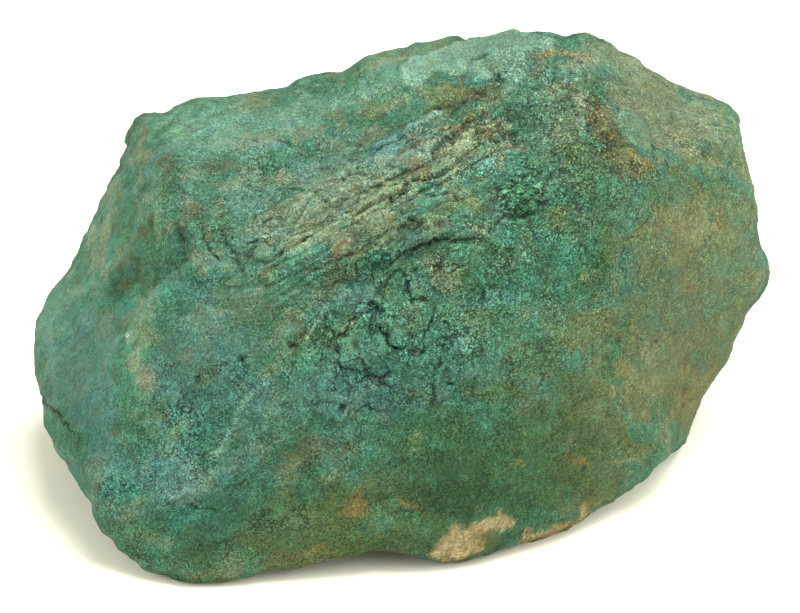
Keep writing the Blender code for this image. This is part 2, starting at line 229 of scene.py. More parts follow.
def rolling(points, wavelength, seed):
    """Smooth noise from -1 to 1: each lattice corner's slope, blended by a quintic fade."""
    places = points / wavelength
    cells = np.floor(places).astype(np.int64)
    inside = places - cells
    fade = inside**3 * (inside * (inside * 6 - 15) + 10)
    total = np.zeros(len(points))
    for corner in itertools.product((0, 1), repeat=3):
        weight = np.prod(np.where(corner, fade, 1 - fade), axis=1)
        slopes = random_slopes(cells + corner, seed)
        total += weight * np.sum(slopes * (inside - corner), axis=1)
    return total * NOISE_GAIN


def layered(points, layers):
    """Layers of smooth noise added up; a layer is its wavelength, its height and its seed."""
    return sum(height * rolling(points, wavelength, seed) for wavelength, height, seed in layers)


def patchy(points, middle, gain, wavelength, seed):
    """A share from 0 to 1 that comes and goes in patches: smooth noise times a gain, plus a middle,
    eased."""
    return eased(middle + gain * rolling(points, wavelength, seed))


def cells_of(points, size, seed):
    """A cell pattern: the distance, in cell sizes, from each point to the nearest and to the second
    nearest of one random place in each lattice cell, and a number from 0 to 1 for the nearest."""
    places = points / size
    home = np.floor(places).astype(np.int64)
    nearest = np.full(len(points), 9.0)
    second = np.full(len(points), 9.0)
    number = np.zeros(len(points))
    for step in itertools.product((-1, 0, 1), repeat=3):
        cell = home + step
        first, other = lattice_numbers(cell, seed)
        third, _ = lattice_numbers(cell, seed + 97)
        spot = cell + np.stack([first, other, third], axis=1) / 65536
        gap = np.linalg.norm(places - spot, axis=1)
        closer = gap < nearest
        second = np.where(closer, nearest, np.minimum(second, gap))
        number = np.where(closer, (first * 7 + other * 3) % 65536 / 65536, number)
        nearest = np.where(closer, gap, nearest)
    return nearest, second, number


# ----------------------------------------------------------------------------------- broad form

# Uneven growth all over: wavelength, height and seed of each layer of noise.
LUMPS = [(26.0, 1.4, 11), (13.0, 1.1, 12), (6.5, 0.70, 13)]

# The fit to the profile: the outline is found at this many even angles. The fit's broad part is
# averaged over this many of them and fades inwards slowly, by this power of the distance; its fine part
# is rounded off over fewer and fades quickly. Ripples, as layers of noise, are added to the fine part.
OUTLINE_ANGLES = 720
BROAD_WIDTH = 30
FINE_WIDTH = 3
BROAD_FADE = 2
FINE_FADE = 12
RIPPLES = [(2.2, 0.16, 17), (1.1, 0.10, 18)]


def block(directions):
    """The block's radius along each direction: one over the soft maximum (a power mean's sum) of each
    facet's own value, the direction's share along the facet over the facet's distance."""
    sides = np.array([facing(turn, rise) / distance for _, turn, rise, distance in FACETS])
    shares = np.maximum(directions @ sides.T, 0.0)
    return np.sum(shares**EDGE_SHARPNESS, axis=1) ** (-1.0 / EDGE_SHARPNESS)


def seen(points):
    """Where points, counted from CENTRE, are seen in the plane through CENTRE: x, y and how much
    nearer than the plane a length looks."""
    nearness = 1 - points @ TO_SIGHT / SIGHT_DISTANCE
    return points @ RIGHT / nearness, points @ UP_IN_SIGHT / nearness, nearness


def signed_distance(x, y, line):
    """The distance from each seen point to a line of points, below 0 on the line's right side."""
    best = np.full(len(x), np.inf)
    side = np.ones(len(x))
    for (ax, ay), (bx, by) in zip(line, line[1:]):
        run = np.array([bx - ax, by - ay])
        along = np.clip(((x - ax) * run[0] + (y - ay) * run[1]) / (run @ run), 0, 1)
        gap = np.hypot(x - ax - along * run[0], y - ay - along * run[1])
        turn = np.where(run[0] * (y - ay) - run[1] * (x - ax) < 0, -1.0, 1.0)
        side = np.where(gap < best, turn, side)
        best = np.minimum(best, gap)
    return best * side


def line_distance(x, y, line):
    """The distance from each seen point to a line of points."""
    return np.abs(signed_distance(x, y, line))


def above_line(x, y, line):
    """How far each seen point lies above a line that runs left to right, across its mean slope."""
    line_x, line_y = np.array(line).T
    slope = math.atan2(line_y[-1] - line_y[0], line_x[-1] - line_x[0])
    return (y - np.interp(x, line_x, line_y)) * math.cos(slope)


def line_taper(x, line):
    """1 along the middle of a line that runs left to right, falling to 0 past its two ends."""
    left = line[0][0]
    right = line[-1][0]
    reach = LEDGE_TAPER * (right - left)
    return eased((x - left + reach) / (2 * reach)) * eased((right + reach - x) / (2 * reach))


def oval(x, y, place, half_width, half_height, turn):
    """The distance from a spot's middle to each seen point, 1 on the edge of its oval."""
    c = math.cos(math.radians(turn))
    s = math.sin(math.radians(turn))
    across = ((x - place[0]) * c + (y - place[1]) * s) / half_width
    along = ((y - place[1]) * c - (x - place[0]) * s) / half_height
    return np.hypot(across, along)


def on_spot(x, y, spot, edge, fraying=0.0):
    """1 inside a spot and 0 outside it: the edge's end less each point's own share of the spot's reach,
    over the edge's fade, plus the fraying, eased."""
    end, fade = edge
    return eased((end - oval(x, y, *spot)) / fade + fraying)


def front_share(directions):
    """1 on the side that faces the sight point, falling to 0 behind."""
    return eased((directions @ TO_SIGHT - SCULPTED_FROM) / SCULPTED_FADE)


def sculpting(points, directions):
    """How far the swells, ridges and ledges move each point out along its direction."""
    x, y, _ = seen(points)
    out = np.zeros(len(points))
    for _, *spot, height in SWELLS:
        out += height * bell(oval(x, y, *spot), 1)
    for _, half_width, height, line in RIDGES:
        out += height * bell(line_distance(x, y, line), half_width)
    for _, rise, reach_up, sink, reach_down, blend, line in LEDGES:
        above = above_line(x, y, line)
        share = 0.5 + 0.5 * np.tanh(above / blend)
        step = share * rise * bell(above, reach_up) - (1 - share) * sink * bell(above, reach_down)
        out += step * line_taper(x, line)
    return out * front_share(directions)


def unfitted(directions):
    """The stone's points, counted from CENTRE, before they are fitted to the profile: the block, plus
    uneven growth, plus what is sculpted, all along each direction."""
    radius = block(directions)
    points = directions * radius[:, None]
    radius = radius + layered(points, LUMPS) + sculpting(points, directions)
    return directions * radius[:, None]


def profile_radius(turns):
    """The profile's distance from CENTRE's image at each angle, straight between its points."""
    x, y = np.array(PROFILE).T
    angles = np.arctan2(y, x)
    radii = np.hypot(x, y)
    order = np.argsort(angles)
    return np.interp(turns, angles[order], radii[order], period=2 * math.pi)


def smoothed(ring, width):
    """A closed row of values, each averaged with its neighbours by a bell of this width in steps."""
    weights = bell(np.arange(-3 * width, 3 * width + 1), width)
    padded = np.concatenate([ring[-3 * width:], ring, ring[:3 * width]])
    return np.convolve(padded, weights / weights.sum(), mode="valid")


def own_outline(x, y):
    """The furthest of the seen points from CENTRE's image at each of the even angles, or at the
    angles next to it."""
    nearest = np.round(np.arctan2(y, x) / (2 * math.pi) * OUTLINE_ANGLES).astype(int) % OUTLINE_ANGLES
    furthest = np.zeros(OUTLINE_ANGLES)
    np.maximum.at(furthest, nearest, np.hypot(x, y))
    return np.maximum(furthest, np.maximum(np.roll(furthest, 1), np.roll(furthest, -1)))


def fitted(points):
    """The points moved across the line of sight so that their own outline lies on the profile: each
    by its distance from CENTRE's image times the profile's radius over the outline's, less one. The
    broad part of the move fades slowly inwards from the outline, and its fine part, which has small
    ripples added to it, quickly."""
    x, y, nearness = seen(points)
    turns = np.arctan2(y, x)
    angles = np.arange(OUTLINE_ANGLES) * 2 * math.pi / OUTLINE_ANGLES
    outline = own_outline(x, y)
    stretch = profile_radius(angles) / outline - 1
    broad = smoothed(stretch, BROAD_WIDTH)
    fine = smoothed(stretch - broad, FINE_WIDTH)
    ring = outline[:, None] * np.stack([np.cos(angles), np.sin(angles), 0 * angles], axis=1)
    fine += layered(ring, RIPPLES) / outline
    rings = (outline, broad, fine)
    reach, slow, quick = (np.interp(turns, angles, values, period=2 * math.pi) for values in rings)
    inwards = np.clip(np.hypot(x, y) / reach, 0, 1)
    share = (slow * inwards**BROAD_FADE + quick * inwards**FINE_FADE) * nearness
    return points + np.outer(share * x, RIGHT) + np.outer(share * y, UP_IN_SIGHT)


def arched(places):
    """The places lifted in the arch, which fades out upwards."""
    across = np.sum(((places[:, :2] - ARCH_PLACE) / ARCH_HALF_SIZE) ** 2, axis=1)
    lift = ARCH_HEIGHT * np.exp(-across) * np.clip(1 - places[:, 2] / ARCH_FADE_HEIGHT, 0, 1)
    return places + np.outer(lift, (0, 0, 1))


def undercut(places):
    """The places near the ground drawn in towards the middle of the base, by the square of how far
    each lies below the undercut's height."""
    below = np.clip(1 - places[:, 2] / UNDERCUT_HEIGHT, 0, 1)
    inwards = BASE_MIDDLE - places[:, :2]
    inwards /= np.maximum(np.linalg.norm(inwards, axis=1), 1.0)[:, None]
    moved = places.copy()
    moved[:, :2] += UNDERCUT * (below**2)[:, None] * inwards
    return moved


# ------------------------------------------------------------------------------------- the skin


def spread(directions):
    """Directions drawn together towards the sight point, where half of each one's angle from the line
    of sight has its tangent multiplied by FRONT_CROWDING, and then spread evenly over the stone: each
    becomes a point of an ellipsoid, and the result points from CENTRE to it."""
    level = directions @ TO_SIGHT
    aside = directions - np.outer(level, TO_SIGHT)
    width = np.maximum(np.linalg.norm(aside, axis=1), 1e-9)
    angle = 2 * np.arctan2(FRONT_CROWDING * width, 1 + level)
    drawn = np.outer(np.cos(angle), TO_SIGHT) + aside * (np.sin(angle) / width)[:, None]
    axes = np.array([RIGHT, UP_IN_SIGHT, TO_SIGHT])
    points = (drawn @ axes.T * SPREAD_HALF_SIZE + SPREAD_MIDDLE) @ axes
    return points / np.linalg.norm(points, axis=1)[:, None]


def ball_grid(steps):
    """A closed ball of directions and its four-sided faces. Each of a cube's six sides is a square
    grid, w + u tan(a) + v tan(b) with a and b from -45 to 45 degrees, and shared points are one."""
    reach = np.tan(np.linspace(-math.pi / 4, math.pi / 4, steps + 1))
    a, b = np.meshgrid(reach, reach, indexing="ij")
    r, u, t = RIGHT, UP_IN_SIGHT, TO_SIGHT
    sides = [(r, u, t), (u, t, r), (t, r, u), (u, r, -t), (t, u, -r), (r, t, -u)]
    points = np.concatenate([w + np.outer(a, p) + np.outer(b, q) for p, q, w in sides])
    points /= np.linalg.norm(points, axis=1)[:, None]
    corner = (np.arange(steps)[:, None] * (steps + 1) + np.arange(steps)).ravel()
    square = np.stack([corner, corner + steps + 1, corner + steps + 2, corner + 1], axis=1)
    faces = np.concatenate([square + side * (steps + 1) ** 2 for side in range(6)])
    _, first, shared = np.unique(np.round(points, 7), axis=0, return_index=True, return_inverse=True)
    return points[first], shared.ravel()[faces]


def point_normals(points, faces):
    """The unit normal at each point: the sum of its faces' diagonals' cross products."""
    corners = points[faces]
    crossed = np.cross(corners[:, 2] - corners[:, 0], corners[:, 3] - corners[:, 1])
    normals = np.zeros_like(points)
    for corner in range(4):
        np.add.at(normals, faces[:, corner], crossed)
    return normals / np.maximum(np.linalg.norm(normals, axis=1), 1e-12)[:, None]


# ------------------------------------------------------------------------- zones of the crust

# Zones, each a spot; their edge, and how far noise frays it.
ZONE_EDGE = (1.2, 0.5)
ZONE_FRAYING = 0.6
ZONES = {
    "strata": ((-2.5, 11.2), 16.5, 6.0, 28),
    "brow": ((5.0, 17.6), 12.5, 4.2, 24),
    "centre": ((-0.5, -2.0), 11.0, 8.5, 10),
    "knobs": ((12.6, 11.7), 2.7, 2.3, 24),
    "peak": ((17.5, 19.5), 6.0, 7.5, -15),
    "bulge": ((-19.5, -3.0), 8.0, 6.0, 25),
    "facet": ((31.0, 0.0), 8.0, 14.0, -8),
    "end": ((-34.0, 1.0), 6.0, 15.0, -12),
    "crown": ((-18.0, 19.0), 11.0, 3.6, 8),
    "foot": ((0.0, -22.0), 26.0, 7.0, 4),
}

# What each kind of relief or colour takes from the zones. Besides the drawn zones there are those all
# over, behind, where the crust crumbles, and where it is calm.
CALM = {"bulge": 1.0, "facet": 1.0, "end": 1.0, "crown": 0.6}
ROUGH = {"all over": 0.75, "strata": -0.22, "peak": 0.25, "calm": -0.2, "foot": -0.1}
BEDDED = {"strata": 1.0, "brow": 0.45, "crown": 0.25}
CRUMBLY = {"all over": 0.25, "centre": 0.5, "knobs": 1.1, "peak": 0.4, "calm": -0.2}
HOLLOWED = {"all over": 0.3, "centre": 0.6, "brow": 0.5, "calm": -0.2}
JOINTED = {"knobs": 1.0, "crumbling": 0.35}
CREASED = {"all over": 0.25, "centre": 1.0, "behind": 0.3}
STREAKED = {"strata": 1.0, "brow": 0.5, "behind": 0.4}

# Noise that frays edges, and noise that moves cracks and plates aside, to the right and up: wavelength,
# height and seed of each layer.
FRAYING = [(2.4, 1.0, 31), (0.9, 0.6, 32)]
CRACK_SHIFTS = ([(1.1, 0.30, 58), (0.5, 0.16, 59)], [(1.1, 0.30, 60), (0.5, 0.16, 61)])
PLATE_SHIFTS = ([(2.0, 0.9, 88), (0.8, 0.35, 89)], [(2.0, 0.9, 90), (0.8, 0.35, 91)])

# Where beds and crumbs come and go behind, where creases and cracks are broken off, and how much of a
# crack is left there: middle, gain, wavelength and seed of each patchy share.
BEHIND_BEDS = (0.4, 1.4, 22.0, 48)
BEHIND_CRUMBS = (0.0, 2.0, 14.0, 52)
CREASE_BREAKS = (0.35, 2.2, 3.4, 55)
CRACK_BREAKS = (0.5, 2.2, 1.1, 56)
CRACK_LEFT = 0.4

# Lumps that meet in creases, and rolling grain, all over: wavelength, height and seed of each layer.
BILLOWS = [(3.6, 0.26, 21), (1.8, 0.15, 22), (0.95, 0.11, 23)]
BILLOW_MIDDLE = 0.3
GRAIN = [(5.2, 0.18, 24), (1.3, 0.06, 25), (0.62, 0.06, 26), (0.36, 0.06, 27)]

# The bedding: how far its lines rise to the right; how much longer than thick a bed's patches are; and
# each layer of beds, as thickness, height of its lips, and seed.
BEDDING_TURN = 27.0
BEDDING_STRETCH = 4.0
BEDS = [(2.8, 0.75, 41), (1.2, 0.30, 45)]

# How beds wander: how far and over which wavelength, both in thicknesses, by noise that is drawn out
# along them and by noise that is alike all ways; then finely, as wavelength, height and step of the
# seed of each layer. Where they break off: middle, gain, and wavelength in thicknesses.
BED_WANDER = (1.1, 1.3)
BED_STRAY = (0.35, 1.5)
FINE_WANDER = [(0.9, 0.10, 1), (0.45, 0.05, 4)]
BED_BREAKS = (0.45, 2.0, 2.0)

# How much of a bed's thickness its lower edge takes; and the grooves along the beds, where a noise is
# near nothing: their depth, how near, and the noise's wavelength.
BED_EDGE = 0.1
BED_GROOVE = 0.22
BED_GROOVE_WIDTH = 0.12
BED_GROOVE_SIZE = 1.2

# A bed's own tone: over how many thicknesses it changes along the bed, its step from one bed to the
# next, and how strongly it shows.
TONE_LENGTH = 1.4
TONE_STEP = 0.618
BED_TONE = 0.32

# Crumbs, knobs with hollows among them, joints between smaller knobs, and creases: the size of their
# cells or the wavelength of their noise, their height or depth and width, and how far noise frays them.
# In cell sizes: how far a knob reaches, and a hollow, which reaches further by a share of its cell's own
# number; and how large that number has to be for a hollow.
CRUMB_SIZE = 0.85
CRUMB_HEIGHT = 0.20
KNOB_SIZE = 1.9
KNOB_HEIGHT = 0.55
KNOB_FRAYING = 0.3
KNOB_REACH = 0.75
HOLLOW_DEPTH = 0.4
HOLLOW_REACH = 0.12
HOLLOW_GROWTH = 0.2
HOLLOW_PICK = 0.62
JOINT_SIZE = 1.15
JOINT_DEPTH = 0.16
JOINT_WIDTH = 0.14
JOINT_FRAYING = 0.25
CREASE_SIZE = 2.9
CREASE_DEPTH = 0.25
CREASE_WIDTH = 0.05
CREASE_FRAYING = 0.4

# A crack's depth, times the square of its own; the noise that widens and narrows it; the height of the
# finest grit; and the seed of the random numbers that the grit and the speckle are drawn with.
CRACK_DEPTH = 0.30
CRACK_WIDENING = [(0.8, 0.6, 57)]
GRIT_HEIGHT = 0.025
GRIT_SEED = 7

# Painted shade lines, in cracks, creases and joints and under the lower edges of the beds: how far one
# reaches, how strong the lines of beds, creases and joints are, a crease's width for each unit of its
# noise, the half width at which a crack keeps its width, and how strong a crack's line is: this gain
# times its own depth, less the loss.
LINE_REACH = 0.3
BED_LINE = 0.75
CREASE_LINE = 0.7
JOINT_LINE = 0.85
CREASE_REACH = 1.6
CRACK_THINNING = 0.13
CRACK_LINE_GAIN = 1.3
CRACK_LINE_LOSS = 0.25

# The painted shadow lines under the ledges: the ledge, between which x the line is thick, and its
# strength; over how much of x it thickens, and by what share; how much of the cracks' shift moves it
# aside; and how deep, how far below the ledge and how wide the hollow along it is.
LEDGE_SHADOWS = [(MAIN_LEDGE_LINE, -1.0, 8.6, 0.85), (SMALL_LEDGE_LINE, 12.0, 13.0, 0.6)]
THICKENING_REACH = 1.5
THICKENING = 0.9
LEDGE_SHADOW_SHIFT = 0.7
LEDGE_SHADOW_DEPTH = 0.15
LEDGE_SHADOW_DROP = 0.3
LEDGE_SHADOW_WIDTH = 0.35

# Cracks: half width, depth, and the seen line.
CRACKS = [
    (0.17, 0.9, [(-12.8, 5.5), (-11.4, 6.7), (-10.5, 7.0), (-9.7, 7.4), (-8.8, 7.8), (-7.9, 8.2)]),
    (0.23, 0.8, [(-12.0, 11.9), (-11.5, 12.5), (-10.8, 12.6), (-10.3, 12.3)]),
    (0.23, 0.8, [(-4.5, 10.9), (-4.1, 11.5), (-3.6, 12.1), (-2.9, 12.3), (-2.2, 12.5)]),
    (0.26, 1.2, [(-1.1, 10.9), (-0.5, 11.4), (0.1, 11.7), (0.9, 11.9)]),
    (0.18, 0.7, [(-7.8, 10.8), (-7.3, 10.4), (-6.5, 10.5), (-5.6, 10.9)]),
    (0.14, 0.5, [(-6.0, 9.6), (-5.4, 9.8), (-4.6, 10.1)]),
    (0.15, 0.6, [(-6.1, 12.7), (-5.7, 13.0), (-5.1, 13.4), (-4.4, 13.7)]),
    (0.16, 0.7, [(-16.4, 6.3), (-15.8, 6.8), (-15.1, 7.4), (-14.2, 7.8)]),
    (0.14, 0.6, [(-16.2, 5.6), (-15.6, 5.0), (-14.5, 4.7), (-13.5, 5.0), (-13.2, 5.6)]),
    (0.14, 0.5, [(-14.7, 15.6), (-14.1, 15.8), (-13.6, 15.6)]),
    (0.14, 0.5, [(-14.3, 14.2), (-13.8, 14.4), (-13.4, 14.5), (-12.5, 14.6)]),
    (0.13, 0.5, [(-14.8, 12.4), (-14.5, 12.7), (-14.2, 12.9)]),
    (0.18, 0.6, [(-8.6, 14.4), (-8.1, 14.3), (-7.3, 14.4)]),
    (0.29, 0.8, [(-12.4, 17.4), (-11.8, 17.2), (-11.2, 16.9)]),
    (0.21, 0.8, [(2.3, 11.1), (3.9, 11.7), (5.5, 11.8), (6.0, 11.2)]),
    (0.15, 0.7, [(6.3, 13.7), (7.1, 13.4), (7.7, 13.8), (8.0, 14.5)]),
    (0.15, 0.7, [(5.2, 8.9), (5.6, 8.4), (6.3, 8.2), (7.2, 8.3), (7.9, 8.7)]),
    (0.23, 0.5, [(3.9, 17.8), (4.9, 17.6), (5.8, 17.2), (6.6, 17.4)]),
    (0.13, 0.6, [(10.4, 11.7), (11.3, 12.3), (12.1, 12.8), (12.8, 13.3), (13.6, 13.7), (14.7, 13.9)]),
    (0.14, 0.7, [(14.7, 13.7), (14.5, 12.8), (14.1, 11.8), (14.7, 11.3), (14.2, 10.7), (13.7, 10.3)]),
    (0.14, 0.6, [(10.7, 10.9), (10.6, 10.3), (10.8, 9.6)]),
    (0.17, 0.9, [(10.1, 8.8), (10.7, 9.5), (11.6, 9.3), (12.4, 9.4), (12.9, 9.6), (13.6, 10.2)]),
    (0.16, 0.8, [(13.6, 10.2), (14.5, 10.6), (15.3, 11.0), (16.0, 11.3)]),
    (0.16, 0.8, [(-6.6, -4.7), (-6.3, -5.0), (-6.5, -5.9), (-6.3, -6.5)]),
    (0.13, 0.5, [(-7.4, -4.2), (-6.8, -4.1), (-6.3, -4.3), (-6.2, -4.5)]),
    (0.12, 0.5, [(-6.3, -4.2), (-6.0, -3.1), (-4.9, -2.9)]),
    (0.16, 0.7, [(-3.2, -3.0), (-2.1, -2.9), (-1.6, -2.9)]),
    (0.20, 1.0, [(-2.3, -1.9), (-2.1, -2.6), (-1.5, -3.0), (-1.1, -3.9), (-0.5, -4.5), (0.0, -4.5)]),
    (0.14, 0.6, [(-1.3, -1.5), (-1.4, -2.3), (-1.1, -3.1)]),
    (0.14, 0.6, [(-4.1, -0.7), (-3.2, 0.1), (-2.5, 0.1), (-2.1, -0.7)]),
    (0.13, 0.5, [(0.6, -3.3), (0.9, -2.9), (1.7, -2.9)]),
    (0.13, 0.5, [(-6.5, -6.3), (-8.1, -7.0), (-8.7, -7.8), (-8.7, -8.9), (-8.4, -9.7)]),
    (0.12, 0.4, [(-6.3, -6.8), (-4.2, -7.1), (-3.4, -6.6), (-2.3, -6.3)]),
    (0.13, 0.5, [(-6.2, -10.7), (-5.7, -10.8), (-5.8, -11.3), (-6.5, -11.9), (-7.7, -12.2), (-9.3, -11.6)]),
    (0.14, 0.5, [(0.0, 3.3), (0.6, 3.6), (1.4, 3.8)]),
    (0.12, 0.4, [(-1.9, 1.9), (-1.1, 2.4), (-0.4, 2.7)]),
    (0.13, 0.5, [(0.4, 2.3), (1.4, 3.0), (2.4, 3.3), (3.3, 3.1)]),
    (0.12, 0.4, [(3.1, 1.7), (4.1, 2.1)]),
    (0.13, 0.4, [(6.6, 6.5), (7.1, 5.7)]),
    (0.13, 0.4, [(4.8, -3.3), (4.7, -3.9), (5.2, -5.0)]),
    (0.13, 0.5, [(6.9, -2.5), (8.1, -2.9), (9.7, -2.5)]),
    (0.12, 0.4, [(7.6, -8.2), (8.6, -9.9)]),
    (0.18, 1.0, [(-20.8, 8.1), (-20.7, 7.1), (-20.0, 5.9), (-19.1, 5.1)]),
    (0.14, 0.6, [(-23.3, 8.1), (-22.9, 7.2)]),
    (0.16, 0.5, [(-21.5, 2.3), (-20.8, 2.6), (-20.2, 2.8)]),
    (0.15, 0.5, [(-24.7, -5.9), (-24.1, -6.5)]),
    (0.13, 0.5, [(-19.6, 3.8), (-19.4, 3.2)]),
    (0.14, 0.5, [(-23.5, -10.2), (-22.8, -9.5), (-22.3, -9.0)]),
    (0.14, 0.5, [(-16.9, -5.9), (-16.0, -4.8)]),
    (0.14, 0.5, [(-21.1, -10.7), (-19.4, -12.4), (-18.6, -12.7)]),
    (0.15, 0.5, [(-12.3, -5.2), (-10.8, -3.8)]),
    (0.14, 0.6, [(-16.0, 4.8), (-15.4, 5.6), (-14.4, 7.4)]),
    (0.24, 0.9, [
        (-37.6, -9.5), (-37.3, -10.4), (-36.4, -10.8), (-35.8, -11.2), (-35.3, -12.4), (-34.9, -13.0),
    ]),
    (0.16, 0.7, [(-17.7, -20.9), (-17.4, -20.4), (-16.4, -20.3)]),
    (0.15, 0.5, [(-19.8, -22.7), (-18.6, -22.2)]),
    (0.15, 0.5, [(-24.7, -19.6), (-23.4, -19.3), (-22.7, -18.8)]),
    (0.16, 0.8, [(-24.4, -20.9), (-23.2, -20.4), (-22.0, -20.9), (-20.6, -21.5), (-19.4, -21.3)]),
    (0.16, 0.8, [(-23.4, -10.6), (-22.6, -11.4), (-21.9, -11.0), (-21.2, -12.0), (-20.4, -12.4)]),
    (0.15, 0.7, [(-22.9, -14.4), (-22.0, -13.8), (-21.3, -14.2)]),
    (0.16, 0.6, [(26.2, 17.2), (27.6, 16.4)]),
    (0.14, 0.5, [(31.9, 16.3), (32.3, 15.7)]),
    (0.19, 0.5, [(7.6, 25.9), (8.7, 26.2), (9.9, 26.5)]),
    (0.16, 0.5, [(13.1, 23.2), (14.1, 22.8), (15.3, 23.2)]),
    (0.17, 0.5, [(4.3, 21.1), (5.3, 21.1), (6.0, 21.3), (7.5, 21.6), (9.4, 21.8)]),
]

# Single pits: seen place, radius and depth; and how far noise moves them aside.
PIT_SHIFT = 0.15
PITS = [
    ((-2.5, -0.2), 0.5, 0.7), ((-6.1, -10.7), 0.4, 0.6), ((-16.7, -5.6), 0.35, 0.5),
    ((-11.4, -4.1), 0.4, 0.5), ((1.4, -4.8), 0.4, 0.4), ((-21.3, -7.6), 0.35, 0.5),
    ((-3.0, 0.3), 0.3, 0.5), ((-1.9, -0.6), 0.3, 0.5), ((10.5, 18.8), 0.35, 0.5),
]

# Thin raised veins: half width, height, and the seen line; how far noise moves them to the right and up;
# and the share of its height that a vein keeps, and that the noise changes.
VEIN_SHIFT = (0.25, 0.2)
VEIN_KEPT = 0.6
VEIN_CHANGE = 0.4
VEINS = [
    (0.22, 0.20, [(-7.7, 0.2), (-8.6, -1.4), (-9.5, -2.8), (-10.2, -4.1)]),
    (0.30, 0.35, [(-13.9, -7.5), (-16.3, -9.8), (-17.1, -11.3), (-17.7, -13.0), (-19.5, -15.6)]),
]

# Plates that stand out between cracks: spot and height; and their edge.
PLATE_EDGE = (1.15, 0.3)
PLATES = [
    ((-4.0, -4.7), 2.6, 1.9, 5, 0.40),
    ((-6.9, -8.4), 1.8, 1.7, 0, 0.30),
    ((-7.4, -11.2), 1.5, 0.9, -10, 0.25),
    ((-0.1, -2.9), 0.8, 1.1, 0, 0.30),
    ((6.4, -4.1), 1.3, 1.0, 20, 0.25),
    ((-14.5, 5.7), 1.0, 0.8, 20, 0.35),
    ((-6.3, 6.4), 1.1, 0.9, 0, 0.30),
    ((7.3, 10.3), 1.1, 0.6, 10, 0.30),
]

# The pale sheet of crust below the top edge, the pale lens on the right, a small flake, and the two
# bare cream patches at the foot, as seen outlines; then how far each stands out, the width of an edge,
# and how far noise frays it.
PALE_SHEET = [
    (0.0, 25.3), (1.3, 26.2), (3.2, 26.8), (5.5, 27.6), (7.4, 28.1), (10.1, 28.8), (12.1, 29.1),
    (14.7, 28.5), (16.4, 28.1), (16.0, 27.2), (14.3, 26.8), (13.5, 26.5), (13.3, 25.9), (13.2, 24.7),
    (12.7, 23.4), (12.1, 22.7), (11.1, 22.1), (10.6, 22.5), (11.1, 23.1), (11.4, 23.8), (10.8, 24.3),
    (10.2, 24.4), (9.2, 23.8), (7.9, 23.5), (7.5, 24.2), (8.2, 24.6), (7.3, 24.5), (6.3, 24.4),
    (5.5, 24.1), (5.2, 24.7), (4.2, 24.9), (3.2, 24.3), (2.1, 23.4), (1.3, 22.8), (0.4, 23.0),
]
PALE_LENS = [
    (23.5, 20.5), (25.1, 20.2), (26.1, 18.6), (26.4, 17.1), (26.4, 16.2), (25.1, 16.8), (23.9, 17.2),
    (23.1, 18.6), (22.4, 19.6),
]
SMALL_FLAKE = [(2.4, 20.0), (3.6, 20.7), (4.3, 20.4), (3.6, 19.7), (2.6, 19.2), (1.2, 18.9), (0.6, 18.9)]
CREAM_PATCH = [
    (3.0, -26.4), (3.6, -26.9), (5.2, -27.5), (6.6, -27.1), (7.4, -26.7), (8.2, -25.8), (9.2, -25.4),
    (9.5, -24.6), (9.7, -23.7), (10.8, -23.7), (11.8, -23.3), (12.2, -22.7), (11.8, -22.2),
    (10.7, -21.8), (9.9, -21.8), (9.1, -22.4), (8.2, -23.0), (7.4, -23.4), (6.6, -23.6), (6.4, -23.1),
    (5.8, -22.6), (5.4, -23.1), (5.1, -23.8), (4.4, -24.6), (4.0, -25.4),
]
CREAM_RIM = [
    (10.1, -26.2), (12.6, -26.0), (15.4, -25.4), (17.5, -24.3), (19.8, -22.6), (20.0, -21.2),
    (19.1, -20.7), (18.9, -21.6), (18.8, -22.5), (17.6, -22.8), (16.4, -23.3), (15.4, -24.2),
    (13.3, -23.8), (13.1, -24.6), (11.6, -25.2),
]
SHEETS = [
    (PALE_SHEET, 0.30), (PALE_LENS, 0.30), (SMALL_FLAKE, 0.30), (CREAM_PATCH, -0.15), (CREAM_RIM, -0.1),
]
SHEET_EDGE = 0.2
SHEET_RAGGEDNESS = 0.15

# Crumbling places, where dark squiggles and pinholes crowd, each a spot; their edge, and how far noise
# frays it.
CRUMBLED_EDGE = (1.3, 0.8)
CRUMBLED_FRAYING = 0.4
CRUMBLED = [
    ((-22.1, -13.0), 3.0, 4.4, 0),
    ((-17.9, -6.4), 2.8, 1.5, 15),
    ((-30.0, -19.0), 2.6, 1.6, -20),
    ((-25.5, -18.5), 2.0, 1.4, 0),
    ((-3.2, -0.9), 3.0, 2.2, 0),
    ((-5.8, -7.6), 2.6, 2.0, 20),
    ((6.3, -4.2), 2.4, 2.2, 0),
    ((12.2, 11.5), 2.8, 2.5, 20),
    ((-19.3, 9.4), 1.8, 3.4, 20),
    ((-14.0, 6.8), 2.6, 1.2, 20),
    ((1.4, 12.2), 4.0, 1.5, 25),
    ((-14.5, 14.6), 2.8, 1.6, 10),
    ((3.4, 18.0), 3.4, 1.2, 15),
    ((-12.5, -22.5), 4.0, 1.6, 10),
    ((19.0, 22.5), 2.4, 3.0, 0),
]

